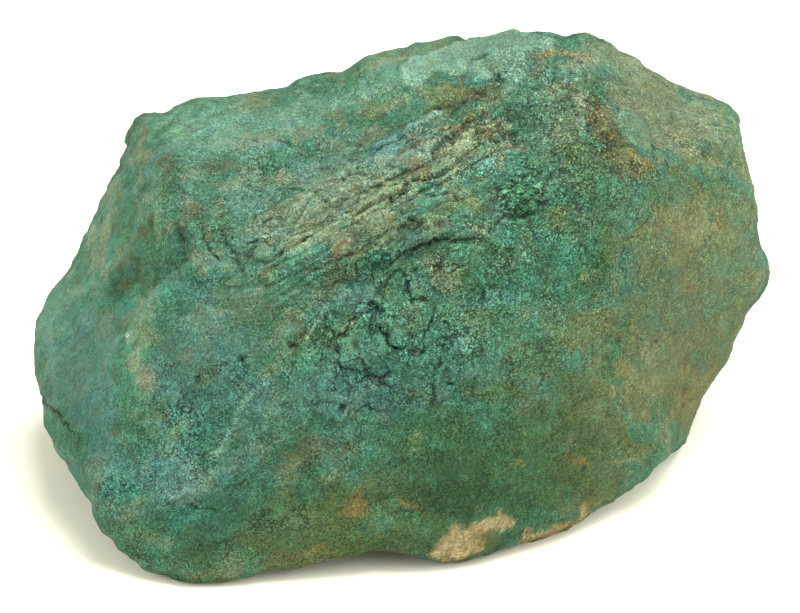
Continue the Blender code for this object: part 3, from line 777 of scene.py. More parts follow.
# How strongly the finest grit shows: all over the front, behind, how much less on a plate, the least and
# the most anywhere, and its changes: their edge, and the change and spot of each.
FRONT_GRIT = 0.70
BACK_GRIT = 0.55
PLATE_CALM = 0.22
GRIT_LIMITS = (0.1, 1.1)
GRIT_EDGE = (1.6, 1.0)
GRIT_CHANGES = [
    (-0.05, (-2.0, 10.5), 16.0, 6.0, 28),
    (0.30, (14.0, 15.0), 8.0, 9.0, 0),
    (0.20, (3.0, 0.0), 14.0, 8.0, 0),
    (0.20, (22.0, 15.5), 5.0, 4.0, -30),
    (-0.35, (-34.5, 0.0), 7.5, 20.0, -10),
    (-0.25, (-20.0, 20.0), 13.0, 3.6, 8),
    (-0.15, (-17.0, -2.0), 8.0, 4.0, 20),
    (-0.22, (33.0, -1.0), 7.5, 13.0, -8),
    (-0.15, (24.0, -12.0), 8.0, 8.0, 30),
    (-0.12, (2.0, -22.0), 24.0, 5.0, 4),
    (-0.35, (4.0, 27.0), 9.0, 2.6, 10),
    (-0.20, (31.0, 22.0), 9.0, 3.0, -30),
    (-0.40, (24.8, 18.3), 2.2, 1.6, -50),
    (-0.20, (8.0, -24.8), 4.0, 2.6, 25),
]


class Ground:
    """What the crust grows on, at each point of the smooth stone: its place, where it is seen, how far
    it faces the sight point, noise that frays edges, its share of each zone, and the grit's strength."""

    def __init__(self, places, normals):
        self.places = places
        self.x, self.y, _ = seen(places)
        self.shown = eased((normals @ TO_SIGHT - SHOWN_FROM) / SHOWN_FADE)
        self.ragged = layered(places, FRAYING)
        self.zones = {name: self.drawn_zone(spot) for name, spot in ZONES.items()}
        self.zones["all over"] = np.ones(len(places))
        self.zones["behind"] = 1 - self.shown
        self.zones["calm"] = np.clip(self.share(CALM), 0, 1)
        self.zones["crumbling"] = self.crumbled()
        self.grit = self.grit_strength()

    def drawn_zone(self, spot):
        """The share of a zone: 1 inside its spot, fading to 0 across a ragged edge."""
        return on_spot(self.x, self.y, spot, ZONE_EDGE, ZONE_FRAYING * self.ragged) * self.shown

    def frayed(self, reach):
        """The places moved by the fraying noise times the reach, alike along all three axes."""
        return self.places + reach * self.ragged[:, None]

    def share(self, parts):
        """The zones' shares, each times its own part, added up."""
        return sum(part * self.zones[name] for name, part in parts.items())

    def crumbled(self):
        """How far the crust crumbles, from 0 to 1: the most of all the crumbling places' own shares."""
        most = np.zeros(len(self.x))
        for spot in CRUMBLED:
            inside = on_spot(self.x, self.y, spot, CRUMBLED_EDGE, CRUMBLED_FRAYING * self.ragged)
            most = np.maximum(most, inside)
        return most * self.shown

    def grit_strength(self):
        """How strongly the grit shows: its changes in spots added up, and less of it on plates."""
        change = np.zeros(len(self.x))
        for more, *spot in GRIT_CHANGES:
            change += more * on_spot(self.x, self.y, spot, GRIT_EDGE)
        for *spot, _ in PLATES:
            change -= PLATE_CALM * on_spot(self.x, self.y, spot, PLATE_EDGE)
        return np.clip(BACK_GRIT + self.shown * (FRONT_GRIT + change - BACK_GRIT), *GRIT_LIMITS)


def on_sheet(x, y, outline, ragged):
    """1 inside an outline and 0 outside it: how far inside it each seen point lies, plus ragged, over
    the width of the edge, eased. Inside are the points whose way to the right crosses the outline an
    odd number of times."""
    gap = line_distance(x, y, outline + outline[:1])
    odd = np.zeros(len(x), bool)
    for (ax, ay), (bx, by) in zip(outline, outline[1:] + outline[:1]):
        level = by - ay if by != ay else 1.0
        odd ^= ((ay > y) != (by > y)) & (x < ax + (y - ay) * (bx - ax) / level)
    return eased((np.where(odd, gap, -gap) + ragged) / SHEET_EDGE + 0.5)


def vein_gap(x, y, ragged, line):
    """The distance from each seen point to a vein, whose line noise moves aside."""
    return line_distance(x + VEIN_SHIFT[0] * ragged, y + VEIN_SHIFT[1] * ragged, line)


def bed_places(places):
    """Places in the beds' own frame: along the beds, drawn out; across them; and into the stone."""
    turn = math.radians(BEDDING_TURN)
    along = math.cos(turn) * RIGHT + math.sin(turn) * UP_IN_SIGHT
    across = math.cos(turn) * UP_IN_SIGHT - math.sin(turn) * RIGHT
    return np.stack([places @ along / BEDDING_STRETCH, places @ across, places @ TO_SIGHT / 2], axis=1)


def beds(places, flat, thickness, seed):
    """One layer of beds: their lips from 0 to 1, how far each point lies above the lower edge of the
    nearest bed, how much of the bed is there, and the bed's own tone. Across the beds the height jumps
    up at each bed's lower edge and slopes back to nothing at its upper one. Beds wander and break off
    by noise, and a bed's tone is noise that changes along it and jumps from one bed to the next."""
    wander = BED_WANDER[0] * rolling(flat, BED_WANDER[1] * thickness, seed)
    wander += BED_STRAY[0] * rolling(places, BED_STRAY[1] * thickness, seed + 3)
    wander += layered(places, [(size, height, seed + step) for size, height, step in FINE_WANDER])
    level = flat[:, 1] / thickness + wander
    part = level - np.floor(level)
    lip = np.where(part < BED_EDGE, part / BED_EDGE, (1 - part) / (1 - BED_EDGE))
    middle, gain, wavelength = BED_BREAKS
    kept = patchy(flat, middle, gain, wavelength * thickness, seed + 2)
    rows = [flat[:, 0] / (TONE_LENGTH * thickness), TONE_STEP * np.floor(level), flat[:, 2] / 6]
    gap = np.where(part < 0.5, part, part - 1) * thickness
    return lip * kept, gap, kept, rolling(np.stack(rows, axis=1), 1.0, seed + 5)


class PaintedShadeLines:
    """The painted shade line nearest to each point: the signed gap to it, in millimetres, and its strength.
    """

    def __init__(self, count):
        self.gap = np.full(count, 1.0)
        self.strength = np.zeros(count)

    def add(self, gap, strength):
        """Takes over a line wherever it would show more than the one before."""
        better = strength * bell(gap, LINE_REACH) > self.strength * bell(self.gap, LINE_REACH)
        self.gap = np.where(better, gap, self.gap)
        self.strength = np.where(better, strength, self.strength)


def uneven_relief(ground):
    """Billows, which are noise folded at nothing, and rolling grain, times how rough the crust is."""
    height = layered(ground.places, GRAIN)
    for wavelength, rise, seed in BILLOWS:
        height += rise * (np.abs(rolling(ground.places, wavelength, seed)) - BILLOW_MIDDLE)
    return height * ground.share(ROUGH)


def bed_relief(ground, lines):
    """The height of all the beds, less narrow grooves along them, and the sum of the beds' tones."""
    flat = bed_places(ground.places)
    behind = ground.zones["behind"] * patchy(ground.places, *BEHIND_BEDS)
    bedded = np.clip(ground.share(BEDDED) + behind, 0, 1)
    height = -BED_GROOVE * (np.abs(rolling(flat, BED_GROOVE_SIZE, 49)) < BED_GROOVE_WIDTH) * bedded
    tone = np.zeros(len(bedded))
    for thickness, rise, seed in BEDS:
        lip, gap, kept, bed_tone = beds(ground.places, flat, thickness, seed)
        tone += bed_tone * bedded
        height += rise * lip * bedded
        lines.add(gap, BED_LINE * rise * kept * bedded)
    return height, tone


def crumb_relief(ground):
    """Round crumbs, one in each cell: 1 less the square of the distance from its middle."""
    nearest, _, _ = cells_of(ground.places, CRUMB_SIZE, 51)
    behind = 0.4 * ground.zones["behind"] * patchy(ground.places, *BEHIND_CRUMBS)
    crumbly = np.clip(ground.share(CRUMBLY) + behind, 0, 2)
    return CRUMB_HEIGHT * (1 - np.clip(nearest, 0, 1) ** 2) * crumbly


def knob_relief(ground):
    """Knobs of the same shape in their own zone, less smaller round hollows in some of the cells."""
    wide, _, number = cells_of(ground.frayed(KNOB_FRAYING), KNOB_SIZE, 53)
    knob = ground.zones["knobs"] * np.clip(1 - (wide / KNOB_REACH) ** 2, 0, 1)
    reach = HOLLOW_REACH + HOLLOW_GROWTH * number
    hollow = np.clip(1 - (wide / reach) ** 2, 0, 1) * (number > HOLLOW_PICK)
    return KNOB_HEIGHT * knob - HOLLOW_DEPTH * hollow * np.clip(ground.share(HOLLOWED), 0, 1)


def joint_relief(ground, lines):
    """A net of joints between small knobs, where a point is as far from two cells' middles."""
    close, other, _ = cells_of(ground.frayed(JOINT_FRAYING), JOINT_SIZE, 96)
    gap = 0.5 * JOINT_SIZE * (other - close)
    jointed = np.clip(ground.share(JOINTED), 0, 1)
    lines.add(gap, JOINT_LINE * jointed)
    return -JOINT_DEPTH * bell(gap, JOINT_WIDTH) * jointed


def crease_relief(ground, lines):
    """Creases where a noise passes nothing, broken off by another noise."""
    crease = rolling(ground.frayed(CREASE_FRAYING), CREASE_SIZE, 54)
    kept = patchy(ground.places, *CREASE_BREAKS) * np.clip(ground.share(CREASED), 0, 1)
    lines.add(crease * CREASE_REACH, CREASE_LINE * kept)
    return -CREASE_DEPTH * bell(crease, CREASE_WIDTH) * kept


def crack_relief(ground, aside, lines):
    """Cracks along their lines, moved aside by noise, each with a bell across it, and shallower where
    they are broken off."""
    kept = CRACK_LEFT + (1 - CRACK_LEFT) * patchy(ground.places, *CRACK_BREAKS)
    kept *= ground.shown
    width = 1 + layered(ground.places, CRACK_WIDENING)
    height = np.zeros(len(width))
    for half_width, depth, line in CRACKS:
        gap = signed_distance(ground.x + aside[0], ground.y + aside[1], line)
        height -= CRACK_DEPTH * depth**2 * bell(gap, half_width * width) * kept
        strength = np.clip(CRACK_LINE_GAIN * depth - CRACK_LINE_LOSS, 0, 1)
        lines.add(gap * CRACK_THINNING / half_width, strength * kept)
    return height


def placed_relief(ground):
    """Single pits and veins, each with a bell across it, and plates and sheets with steep edges."""
    x, y, ragged = ground.x, ground.y, ground.ragged
    height = np.zeros(len(x))
    for place, radius, depth in PITS:
        gap = np.hypot(x - place[0] + PIT_SHIFT * ragged, y - place[1])
        height -= depth * bell(gap, radius)
    for half_width, rise, line in VEINS:
        gap = vein_gap(x, y, ragged, line)
        height += rise * bell(gap, half_width) * (VEIN_KEPT + VEIN_CHANGE * ragged)
    plate_x = x + layered(ground.places, PLATE_SHIFTS[0])
    plate_y = y + layered(ground.places, PLATE_SHIFTS[1])
    for *spot, rise in PLATES:
        height += rise * on_spot(plate_x, plate_y, spot, PLATE_EDGE)
    for outline, rise in SHEETS:
        height += rise * on_sheet(x, y, outline, SHEET_RAGGEDNESS * ragged)
    return height * ground.shown


def ledge_relief(ground, aside, lines):
    """A narrow hollow along the foot of each ledge, with a painted shadow line that is thick in its middle.
    """
    x = ground.x + LEDGE_SHADOW_SHIFT * aside[0]
    y = ground.y + LEDGE_SHADOW_SHIFT * aside[1]
    height = np.zeros(len(x))
    for line, low, high, strength in LEDGE_SHADOWS:
        above = above_line(x, y, line)
        thick = eased((ground.x - low) / THICKENING_REACH) * eased((high - ground.x) / THICKENING_REACH)
        there = line_taper(ground.x, line) * ground.shown
        height -= LEDGE_SHADOW_DEPTH * bell(above + LEDGE_SHADOW_DROP, LEDGE_SHADOW_WIDTH) * there
        lines.add((above + 0.1 + 0.1 * thick) / (1 + THICKENING * thick), strength * there)
    return height


def crust_relief(ground, grains):
    """The crust's height over the broad form, in millimetres, its painted shade lines, and its beds' tones.
    """
    lines = PaintedShadeLines(len(grains))
    aside = [layered(ground.places, layers) for layers in CRACK_SHIFTS]
    height, tone = bed_relief(ground, lines)
    height += uneven_relief(ground) + crumb_relief(ground) + knob_relief(ground)
    height += joint_relief(ground, lines) + crease_relief(ground, lines)
    height += crack_relief(ground, aside, lines) + placed_relief(ground)
    height += ledge_relief(ground, aside, lines)
    return height + GRIT_HEIGHT * grains, lines, tone


def levelled(values, faces, passes):
    """Values after each point has been averaged, this many times, with the points next to it."""
    beside = np.bincount(faces.ravel(), minlength=len(values))
    for _ in range(passes):
        total = np.zeros(len(values))
        for corner in range(4):
            before = values[faces[:, corner - 1]]
            total += np.bincount(faces[:, corner], weights=before, minlength=len(values))
        values = 0.5 * values + 0.5 * total / beside
    return values


# ---------------------------------------------------------------------------------- its colours

# Base colours, as shares of red, green and blue light sent back.
TEAL = (0.033, 0.101, 0.062)
BRIGHT_TEAL = (0.066, 0.140, 0.101)
LENS_GREEN = (0.062, 0.104, 0.064)
VIVID_TEAL = (0.023, 0.113, 0.069)
BLUE_TEAL = (0.050, 0.115, 0.092)
PALE_TEAL = (0.090, 0.141, 0.101)
DEEP_GREEN = (0.020, 0.062, 0.025)
DARK_GREEN = (0.014, 0.036, 0.015)
MOSS = (0.043, 0.070, 0.027)
BEIGE_GREEN = (0.116, 0.138, 0.079)
OLIVE = (0.070, 0.086, 0.036)
TAN = (0.137, 0.126, 0.062)
FACET_GREEN = (0.084, 0.104, 0.053)
SHEET_TEAL = (0.074, 0.131, 0.092)
BROWN = (0.060, 0.054, 0.023)
DARK_BROWN = (0.024, 0.024, 0.010)
RUST = (0.108, 0.060, 0.015)
CREAM = (0.240, 0.196, 0.104)
WHITE = (0.650, 0.600, 0.450)
RIM_CREAM = (0.205, 0.168, 0.084)
CREAM_BROWN = (0.100, 0.078, 0.036)
GOLD = (0.137, 0.105, 0.033)
PINK = (0.150, 0.120, 0.090)
BLUE = (0.050, 0.125, 0.125)

# Patches that noise scatters over the front, and those that it scatters behind: colour, strength,
# wavelength, the threshold that the noise has to pass, how soft the edge is, and the seed; and how far
# other noise frays them.
PATCH_FRAYING = 0.2
FRONT_PATCHES = [
    (DEEP_GREEN, 0.55, 7.0, 0.10, 0.50, 61),
    (MOSS, 0.40, 5.0, 0.25, 0.40, 62),
    (BLUE_TEAL, 0.50, 4.2, 0.25, 0.35, 63),
    (BEIGE_GREEN, 0.42, 2.8, 0.34, 0.30, 64),
    (BRIGHT_TEAL, 0.38, 1.9, 0.42, 0.25, 65),
    (BROWN, 0.36, 1.6, 0.48, 0.20, 66),
    (DARK_GREEN, 0.34, 1.3, 0.42, 0.25, 67),
]
BACK_PATCHES = [
    (BEIGE_GREEN, 0.70, 12.0, 0.05, 0.40, 68),
    (OLIVE, 0.65, 10.0, 0.15, 0.40, 69),
    (BRIGHT_TEAL, 0.50, 6.0, 0.20, 0.35, 70),
    (TAN, 0.50, 4.0, 0.45, 0.25, 71),
    (BROWN, 0.50, 3.2, 0.45, 0.25, 72),
]

# Stains: their edge; how far noise frays it, and how much of that is left on a stain whose half size is
# under the small one, at the least; and the colour, strength and spot of each. A later one lies over
# those before it. A few of them are painted shade: along the main ledge and in the left hollow.
STAIN_EDGE = (1.05, 0.6)
STAIN_RAGGEDNESS = 0.7
SMALL_STAIN = 3.0
SMALL_STAIN_LEFT = 0.6
STAINS = [
    (BEIGE_GREEN, 0.50, (-19.0, -28.4), 4.5, 0.7, 6),
    (OLIVE, 0.50, (-10.0, -27.0), 6.0, 0.8, 6),
    (OLIVE, 0.50, (-2.5, -26.2), 3.5, 0.7, 0),
    (BRIGHT_TEAL, 0.60, (-18.5, 18.6), 10.0, 3.8, 8),
    (BRIGHT_TEAL, 0.60, (-9.0, 20.8), 8.0, 2.4, 10),
    (BEIGE_GREEN, 0.55, (-13.0, 17.9), 5.5, 1.0, 5),
    (BEIGE_GREEN, 0.45, (-5.5, 12.0), 16.0, 6.0, 29),
    (BEIGE_GREEN, 0.45, (-5.0, 10.8), 12.5, 3.4, 29),
    (BEIGE_GREEN, 0.65, (5.5, 16.3), 7.5, 3.0, 27),
    (BEIGE_GREEN, 0.30, (-10.0, 6.6), 4.0, 1.6, 25),
    (TEAL, 0.45, (-10.0, 5.6), 3.6, 1.4, 20),
    # A moss-green band above the main ledge, darkened partly as painted shade.
    (MOSS, 0.65, (-0.6, 7.4), 6.5, 1.7, 22),
    (BROWN, 0.60, (2.0, 14.6), 2.8, 1.2, 25),
    (BROWN, 0.50, (0.8, 10.2), 1.6, 0.7, 15),
    (BROWN, 0.55, (-3.8, 17.3), 1.2, 0.8, 25),
    (MOSS, 0.55, (-6.0, 4.0), 3.0, 1.5, 20),
    (VIVID_TEAL, 0.50, (-3.0, 5.5), 2.6, 1.2, 20),
    (BEIGE_GREEN, 0.30, (16.5, 20.0), 5.0, 6.0, 10),
    (DEEP_GREEN, 0.55, (19.0, 13.2), 7.0, 5.0, 0),
    (DEEP_GREEN, 0.50, (10.5, 6.2), 3.0, 1.8, 15),
    # Painted shade, bluish, under the main ledge.
    (BLUE_TEAL, 0.45, (0.0, 5.9), 3.4, 1.2, 20),
    (TEAL, 0.60, (13.2, 20.5), 2.6, 4.0, 5),
    (TEAL, 0.60, (10.0, 14.0), 4.0, 2.6, 20),
    (VIVID_TEAL, 0.60, (12.6, 11.6), 2.9, 2.1, 24),
    (DEEP_GREEN, 0.55, (12.6, 11.6), 2.9, 2.1, 24),
    (PALE_TEAL, 0.55, (-22.6, 10.4), 0.9, 3.6, 12),
    (MOSS, 0.55, (16.5, 9.3), 2.4, 2.0, 0),
    (TAN, 0.35, (7.6, 10.4), 1.4, 0.6, 10),
    (DEEP_GREEN, 0.70, (11.5, 2.5), 9.0, 5.0, 5),
    (VIVID_TEAL, 0.50, (18.5, 5.0), 3.6, 2.2, 20),
    (DEEP_GREEN, 0.60, (20.0, 3.5), 4.5, 4.5, -20),
    (TEAL, 0.45, (0.0, -3.0), 9.0, 7.0, 10),
    (BEIGE_GREEN, 0.40, (4.5, 3.6), 2.4, 1.5, 20),
    (MOSS, 0.60, (8.3, -0.5), 1.6, 1.3, 10),
    (BLUE_TEAL, 0.50, (-3.3, 1.6), 1.2, 0.8, 0),
    (BLUE, 0.50, (5.7, 4.3), 0.4, 0.5, 0),
    (VIVID_TEAL, 0.60, (8.3, 3.7), 0.9, 0.8, 0),
    (BLUE, 0.45, (-2.5, -8.9), 0.4, 0.35, 0),
    (BLUE_TEAL, 0.60, (0.1, -2.9), 0.6, 0.8, 0),
    (BLUE_TEAL, 0.50, (7.0, -6.6), 2.4, 1.0, 0),
    (BLUE_TEAL, 0.45, (6.4, -4.1), 1.3, 1.0, 20),
    (PALE_TEAL, 0.30, (-4.0, -4.7), 2.6, 1.8, 5),
    (BROWN, 0.40, (-11.1, -3.7), 0.8, 1.0, 0),
    (PINK, 0.60, (1.4, -4.9), 0.5, 0.45, 0),
    (PINK, 0.60, (-9.9, 3.1), 0.35, 0.3, 0),
    (PINK, 0.60, (-9.2, 1.4), 0.35, 0.35, 0),
    (PINK, 0.40, (12.7, -4.3), 0.4, 0.4, 0),
    (GOLD, 0.45, (-6.3, 6.5), 1.0, 0.9, 0),
    (DARK_GREEN, 0.60, (-6.2, 5.4), 0.7, 0.4, 0),
    (TAN, 0.60, (-14.3, 6.0), 0.8, 0.5, 10),
    (BLUE_TEAL, 0.60, (-20.5, -5.5), 8.5, 6.5, 30),
    (BRIGHT_TEAL, 0.35, (-19.0, 1.0), 6.0, 2.2, 5),
    (MOSS, 0.55, (-20.5, -7.6), 2.0, 1.6, 10),
    (MOSS, 0.40, (-15.0, -0.5), 4.0, 1.8, 10),
    (OLIVE, 0.35, (-26.6, -2.4), 1.0, 3.0, -28),
    (BEIGE_GREEN, 0.50, (-28.4, -5.8), 1.2, 2.2, -30),
    (PINK, 0.35, (-26.8, -7.9), 1.2, 1.5, 0),
    (PINK, 0.30, (-22.5, -5.1), 1.0, 0.8, 0),
    (TAN, 0.40, (-19.4, -0.2), 0.6, 0.3, 0),
    (TAN, 0.40, (-19.2, -2.6), 0.3, 0.9, 0),
    (VIVID_TEAL, 0.55, (-23.1, -11.2), 1.2, 1.0, 0),
    (BLUE_TEAL, 0.60, (-34.0, -6.0), 4.5, 9.0, 15),
    (BRIGHT_TEAL, 0.60, (-37.2, -3.6), 1.6, 4.0, 5),
    (BLUE, 0.35, (-36.9, -3.4), 0.8, 2.0, 5),
    (BEIGE_GREEN, 0.45, (-34.0, 1.8), 1.8, 0.9, 0),
    # Painted shade in the left hollow.
    (DARK_GREEN, 0.60, (-29.9, 2.2), 1.6, 3.0, -25),
    (BROWN, 0.50, (-29.0, 2.9), 1.6, 1.0, 30),
    (GOLD, 0.45, (-29.4, -2.0), 0.4, 0.5, 0),
    (DARK_GREEN, 0.75, (-36.0, -11.2), 1.2, 0.5, -45),
    (BEIGE_GREEN, 0.60, (-27.6, 17.0), 1.1, 3.6, -8),
    (BEIGE_GREEN, 0.40, (-30.4, 11.5), 1.2, 4.0, -12),
    (BLUE_TEAL, 0.60, (-26.5, 13.0), 0.7, 4.0, -5),
    (BROWN, 0.50, (-24.6, 15.2), 1.3, 1.7, 15),
    (BROWN, 0.50, (-19.6, 14.4), 3.8, 0.8, 6),
    (BLUE, 0.45, (-14.2, 17.0), 1.7, 0.9, 0),
    (VIVID_TEAL, 0.55, (-11.8, 17.7), 1.2, 0.8, -20),
    (DARK_GREEN, 0.75, (-11.6, 17.2), 0.9, 0.4, -20),
    (BROWN, 0.50, (-21.8, 10.1), 1.0, 1.0, 0),
    (BROWN, 0.50, (-20.3, 7.8), 0.7, 1.4, 10),
    (PALE_TEAL, 0.50, (-17.7, 12.4), 2.4, 1.1, -10),
    (VIVID_TEAL, 0.40, (-16.5, 9.6), 2.5, 1.4, 15),
    (TAN, 0.40, (-19.3, 10.6), 0.4, 1.7, 0),
    (RUST, 0.30, (-28.3, 11.0), 0.3, 0.5, 0),
    (RUST, 0.35, (-27.8, 8.0), 0.5, 1.0, 0),
    (TAN, 0.40, (-25.5, 9.2), 0.25, 1.9, 0),
    (DARK_GREEN, 0.55, (-26.0, 8.6), 0.6, 1.3, -10),
    (DARK_GREEN, 0.45, (-27.6, 4.6), 0.9, 1.8, -10),
    (OLIVE, 0.70, (-6.6, 19.7), 1.4, 1.1, 0),
    (OLIVE, 0.65, (-2.6, 21.0), 2.4, 1.6, 15),
    (TAN, 0.50, (-1.0, 25.6), 3.2, 0.7, 12),
    (OLIVE, 0.70, (4.6, 22.3), 2.6, 1.4, 8),
    (BROWN, 0.75, (6.8, 23.6), 0.9, 0.9, 0),
    (BROWN, 0.70, (8.0, 22.1), 3.4, 0.9, 5),
    (DARK_BROWN, 0.40, (6.0, 21.2), 3.2, 0.6, 6),
    (BROWN, 0.60, (6.5, 18.2), 3.4, 0.7, 5),
    (TAN, 0.50, (10.0, 23.3), 0.5, 0.3, 0),
    (DARK_GREEN, 0.65, (11.9, 20.2), 1.1, 1.1, 0),
    (DARK_GREEN, 0.55, (14.2, 23.0), 1.4, 0.5, 15),
    (DARK_GREEN, 0.55, (17.6, 21.6), 1.4, 1.6, -20),
    (OLIVE, 0.55, (13.8, 24.2), 1.2, 0.8, 15),
    (BEIGE_GREEN, 0.50, (16.0, 23.2), 1.5, 0.7, 15),
    (GOLD, 0.60, (16.0, 26.4), 2.0, 0.9, -5),
    (TAN, 0.50, (18.0, 26.6), 2.0, 0.9, -10),
    (PALE_TEAL, 0.55, (18.8, 25.2), 0.9, 0.8, -30),
    (OLIVE, 0.60, (24.0, 21.5), 2.0, 4.0, 40),
    (BROWN, 0.70, (21.2, 19.0), 1.6, 3.6, 12),
    (OLIVE, 0.45, (21.4, 18.6), 1.8, 3.6, 12),
    (DARK_BROWN, 0.55, (20.7, 21.3), 0.6, 2.8, 14),
    (RUST, 0.22, (21.3, 20.6), 0.5, 1.2, 10),
    (BROWN, 0.65, (22.8, 16.2), 2.4, 1.6, -35),
    (OLIVE, 0.75, (24.4, 15.0), 3.2, 1.3, -30),
    (GOLD, 0.42, (25.2, 15.3), 2.4, 0.5, -38),
    (DARK_BROWN, 0.40, (22.6, 14.6), 2.2, 0.6, -15),
    (MOSS, 0.45, (19.6, 14.8), 2.0, 2.6, 0),
    (BEIGE_GREEN, 0.70, (19.4, 21.6), 0.8, 1.4, 0),
    (BROWN, 0.50, (16.4, 18.7), 0.5, 0.8, 0),
    (GOLD, 0.55, (17.7, 15.1), 0.6, 0.6, 0),
    (BEIGE_GREEN, 0.75, (29.0, 19.4), 8.4, 4.6, -28),
    (MOSS, 0.50, (27.0, 22.5), 2.0, 1.2, -25),
    (TAN, 0.50, (29.4, 18.0), 1.4, 0.6, -25),
    (DARK_GREEN, 0.55, (32.8, 16.6), 1.2, 1.3, -20),
    (GOLD, 0.45, (33.4, 15.2), 1.2, 0.4, -40),
    (OLIVE, 0.60, (35.2, 15.5), 1.2, 2.4, 0),
    (BROWN, 0.45, (23.7, 14.4), 3.2, 0.6, 0),
    (TEAL, 0.60, (24.4, 11.0), 2.2, 2.6, 10),
    (OLIVE, 0.80, (31.0, 3.0), 8.5, 12.5, -8),
    (OLIVE, 0.60, (20.5, -12.5), 9.0, 5.5, 35),
    (TAN, 0.55, (31.0, 9.6), 4.2, 2.8, 0),
    (GOLD, 0.45, (34.0, 8.8), 0.8, 1.3, 0),
    (TAN, 0.45, (26.5, -7.8), 5.0, 5.0, 30),
    (TEAL, 0.65, (34.2, 4.4), 3.0, 1.5, -5),
    (TEAL, 0.70, (33.7, 0.2), 2.4, 1.4, 15),
    (TEAL, 0.60, (24.6, 5.2), 2.4, 1.8, 30),
    (TEAL, 0.55, (27.0, -1.2), 0.9, 0.7, 0),
    (TEAL, 0.55, (24.0, -5.2), 1.1, 0.9, 20),
    (TEAL, 0.50, (33.7, -4.8), 0.9, 1.5, 0),
    (GOLD, 0.50, (30.5, 2.3), 1.0, 1.3, 0),
    (RUST, 0.50, (31.1, -7.6), 0.45, 1.8, 0),
    (RUST, 0.40, (25.9, -11.5), 0.4, 0.5, 0),
    (RUST, 0.40, (23.9, -14.1), 0.6, 0.6, 0),
    (PINK, 0.40, (38.6, 3.4), 0.5, 1.5, 0),
    (BEIGE_GREEN, 0.55, (19.6, 2.8), 0.6, 0.4, 0),
    (MOSS, 0.50, (18.4, -8.5), 4.0, 2.6, 20),
    (BROWN, 0.40, (13.7, -10.7), 2.4, 2.0, 20),
    (DEEP_GREEN, 0.85, (8.0, -17.0), 16.0, 7.5, 10),
    (DEEP_GREEN, 0.50, (-18.0, -22.5), 12.0, 6.0, 0),
    (DARK_GREEN, 0.45, (4.0, -18.5), 8.0, 4.5, -10),
    (BLUE_TEAL, 0.60, (-24.5, -17.0), 3.6, 4.6, 15),
    (DARK_GREEN, 0.55, (-20.0, -23.5), 6.0, 4.0, -4),
    (MOSS, 0.70, (-10.5, -23.5), 8.5, 4.6, 10),
    (BROWN, 0.45, (-9.5, -15.2), 3.2, 2.2, 35),
    (OLIVE, 0.50, (-11.8, -17.3), 1.6, 3.4, -20),
    (OLIVE, 0.65, (-10.5, -27.0), 7.0, 1.5, 4),
    (GOLD, 0.45, (-9.3, -25.9), 2.0, 0.5, 8),
    (VIVID_TEAL, 0.50, (-17.9, -23.5), 1.6, 0.7, 0),
    (VIVID_TEAL, 0.40, (-23.3, -24.2), 0.8, 1.6, 0),
    (PALE_TEAL, 0.40, (-17.2, -12.8), 6.0, 0.55, 57),
    (PALE_TEAL, 0.35, (-18.3, -16.9), 8.5, 1.0, 31),
    (VIVID_TEAL, 0.50, (-21.5, -22.0), 4.0, 1.5, 5),
    (DEEP_GREEN, 0.40, (-20.0, -21.6), 2.6, 1.0, 0),
    (BRIGHT_TEAL, 0.50, (0.0, 24.3), 4.5, 2.2, 12),
    (TAN, 0.50, (19.5, 26.0), 2.2, 1.3, -20),
    (WHITE, 1.00, (-24.7, -26.6), 0.24, 0.20, 20),
    (WHITE, 0.80, (-29.2, -2.9), 0.22, 0.18, 0),
    (BEIGE_GREEN, 0.65, (24.5, 24.9), 6.0, 2.2, -33),
    (OLIVE, 0.50, (21.0, 26.2), 2.6, 1.4, -30),
    (BEIGE_GREEN, 0.40, (-1.0, 26.6), 4.0, 1.4, 12),
    (DEEP_GREEN, 0.40, (29.0, 12.0), 7.0, 2.8, -8),
    (TEAL, 0.50, (10.5, 0.7), 3.6, 1.5, 0),
    (BEIGE_GREEN, 0.40, (-27.4, -1.0), 1.2, 4.4, -32),
    # Painted shade in the left hollow.
    (DARK_GREEN, 0.40, (-29.8, -2.2), 1.3, 1.2, 0),
    (MOSS, 0.60, (15.5, -4.6), 8.5, 2.6, 39),
    (OLIVE, 0.40, (20.0, -2.0), 3.0, 4.0, -20),
    (TAN, 0.50, (31.2, -9.4), 1.6, 4.6, -22),
    (OLIVE, 0.55, (22.0, -18.0), 6.0, 2.4, 40),
    (MOSS, 0.55, (-1.5, -19.8), 6.0, 3.2, 0),
    (TEAL, 0.50, (-18.0, -10.8), 5.0, 3.4, 20),
    (BLUE_TEAL, 0.40, (-3.0, -9.6), 5.0, 3.0, 0),
    (BEIGE_GREEN, 0.45, (-31.4, 6.4), 1.6, 4.4, -15),
    (BRIGHT_TEAL, 0.40, (-15.6, 11.4), 3.6, 2.2, 10),
    (BEIGE_GREEN, 0.45, (0.6, 11.6), 2.8, 1.2, 20),
    (TEAL, 0.50, (-16.2, 5.4), 2.0, 1.6, 0),
    (DARK_GREEN, 0.55, (2.0, -25.6), 14.0, 1.8, 2),
    (PALE_TEAL, 0.50, (0.4, 11.0), 2.6, 1.3, 25),
    (BLUE_TEAL, 0.45, (-16.0, 5.8), 2.2, 1.6, 0),
    (DARK_GREEN, 0.35, (-15.8, 5.9), 1.8, 1.2, 0),
    # Painted shade under the main ledge.
    (DARK_GREEN, 0.40, (3.2, 5.7), 5.0, 1.1, 10),
    (BLUE_TEAL, 0.50, (-4.6, 0.8), 3.6, 2.2, 0),
    (BRIGHT_TEAL, 0.40, (-10.5, 0.7), 3.4, 2.0, 0),
    (BRIGHT_TEAL, 0.50, (10.5, 0.8), 3.2, 1.3, 0),
    (BLUE_TEAL, 0.50, (-9.0, -9.8), 11.0, 2.4, 0),
    (DARK_GREEN, 0.35, (-21.5, -9.6), 2.5, 1.8, 0),
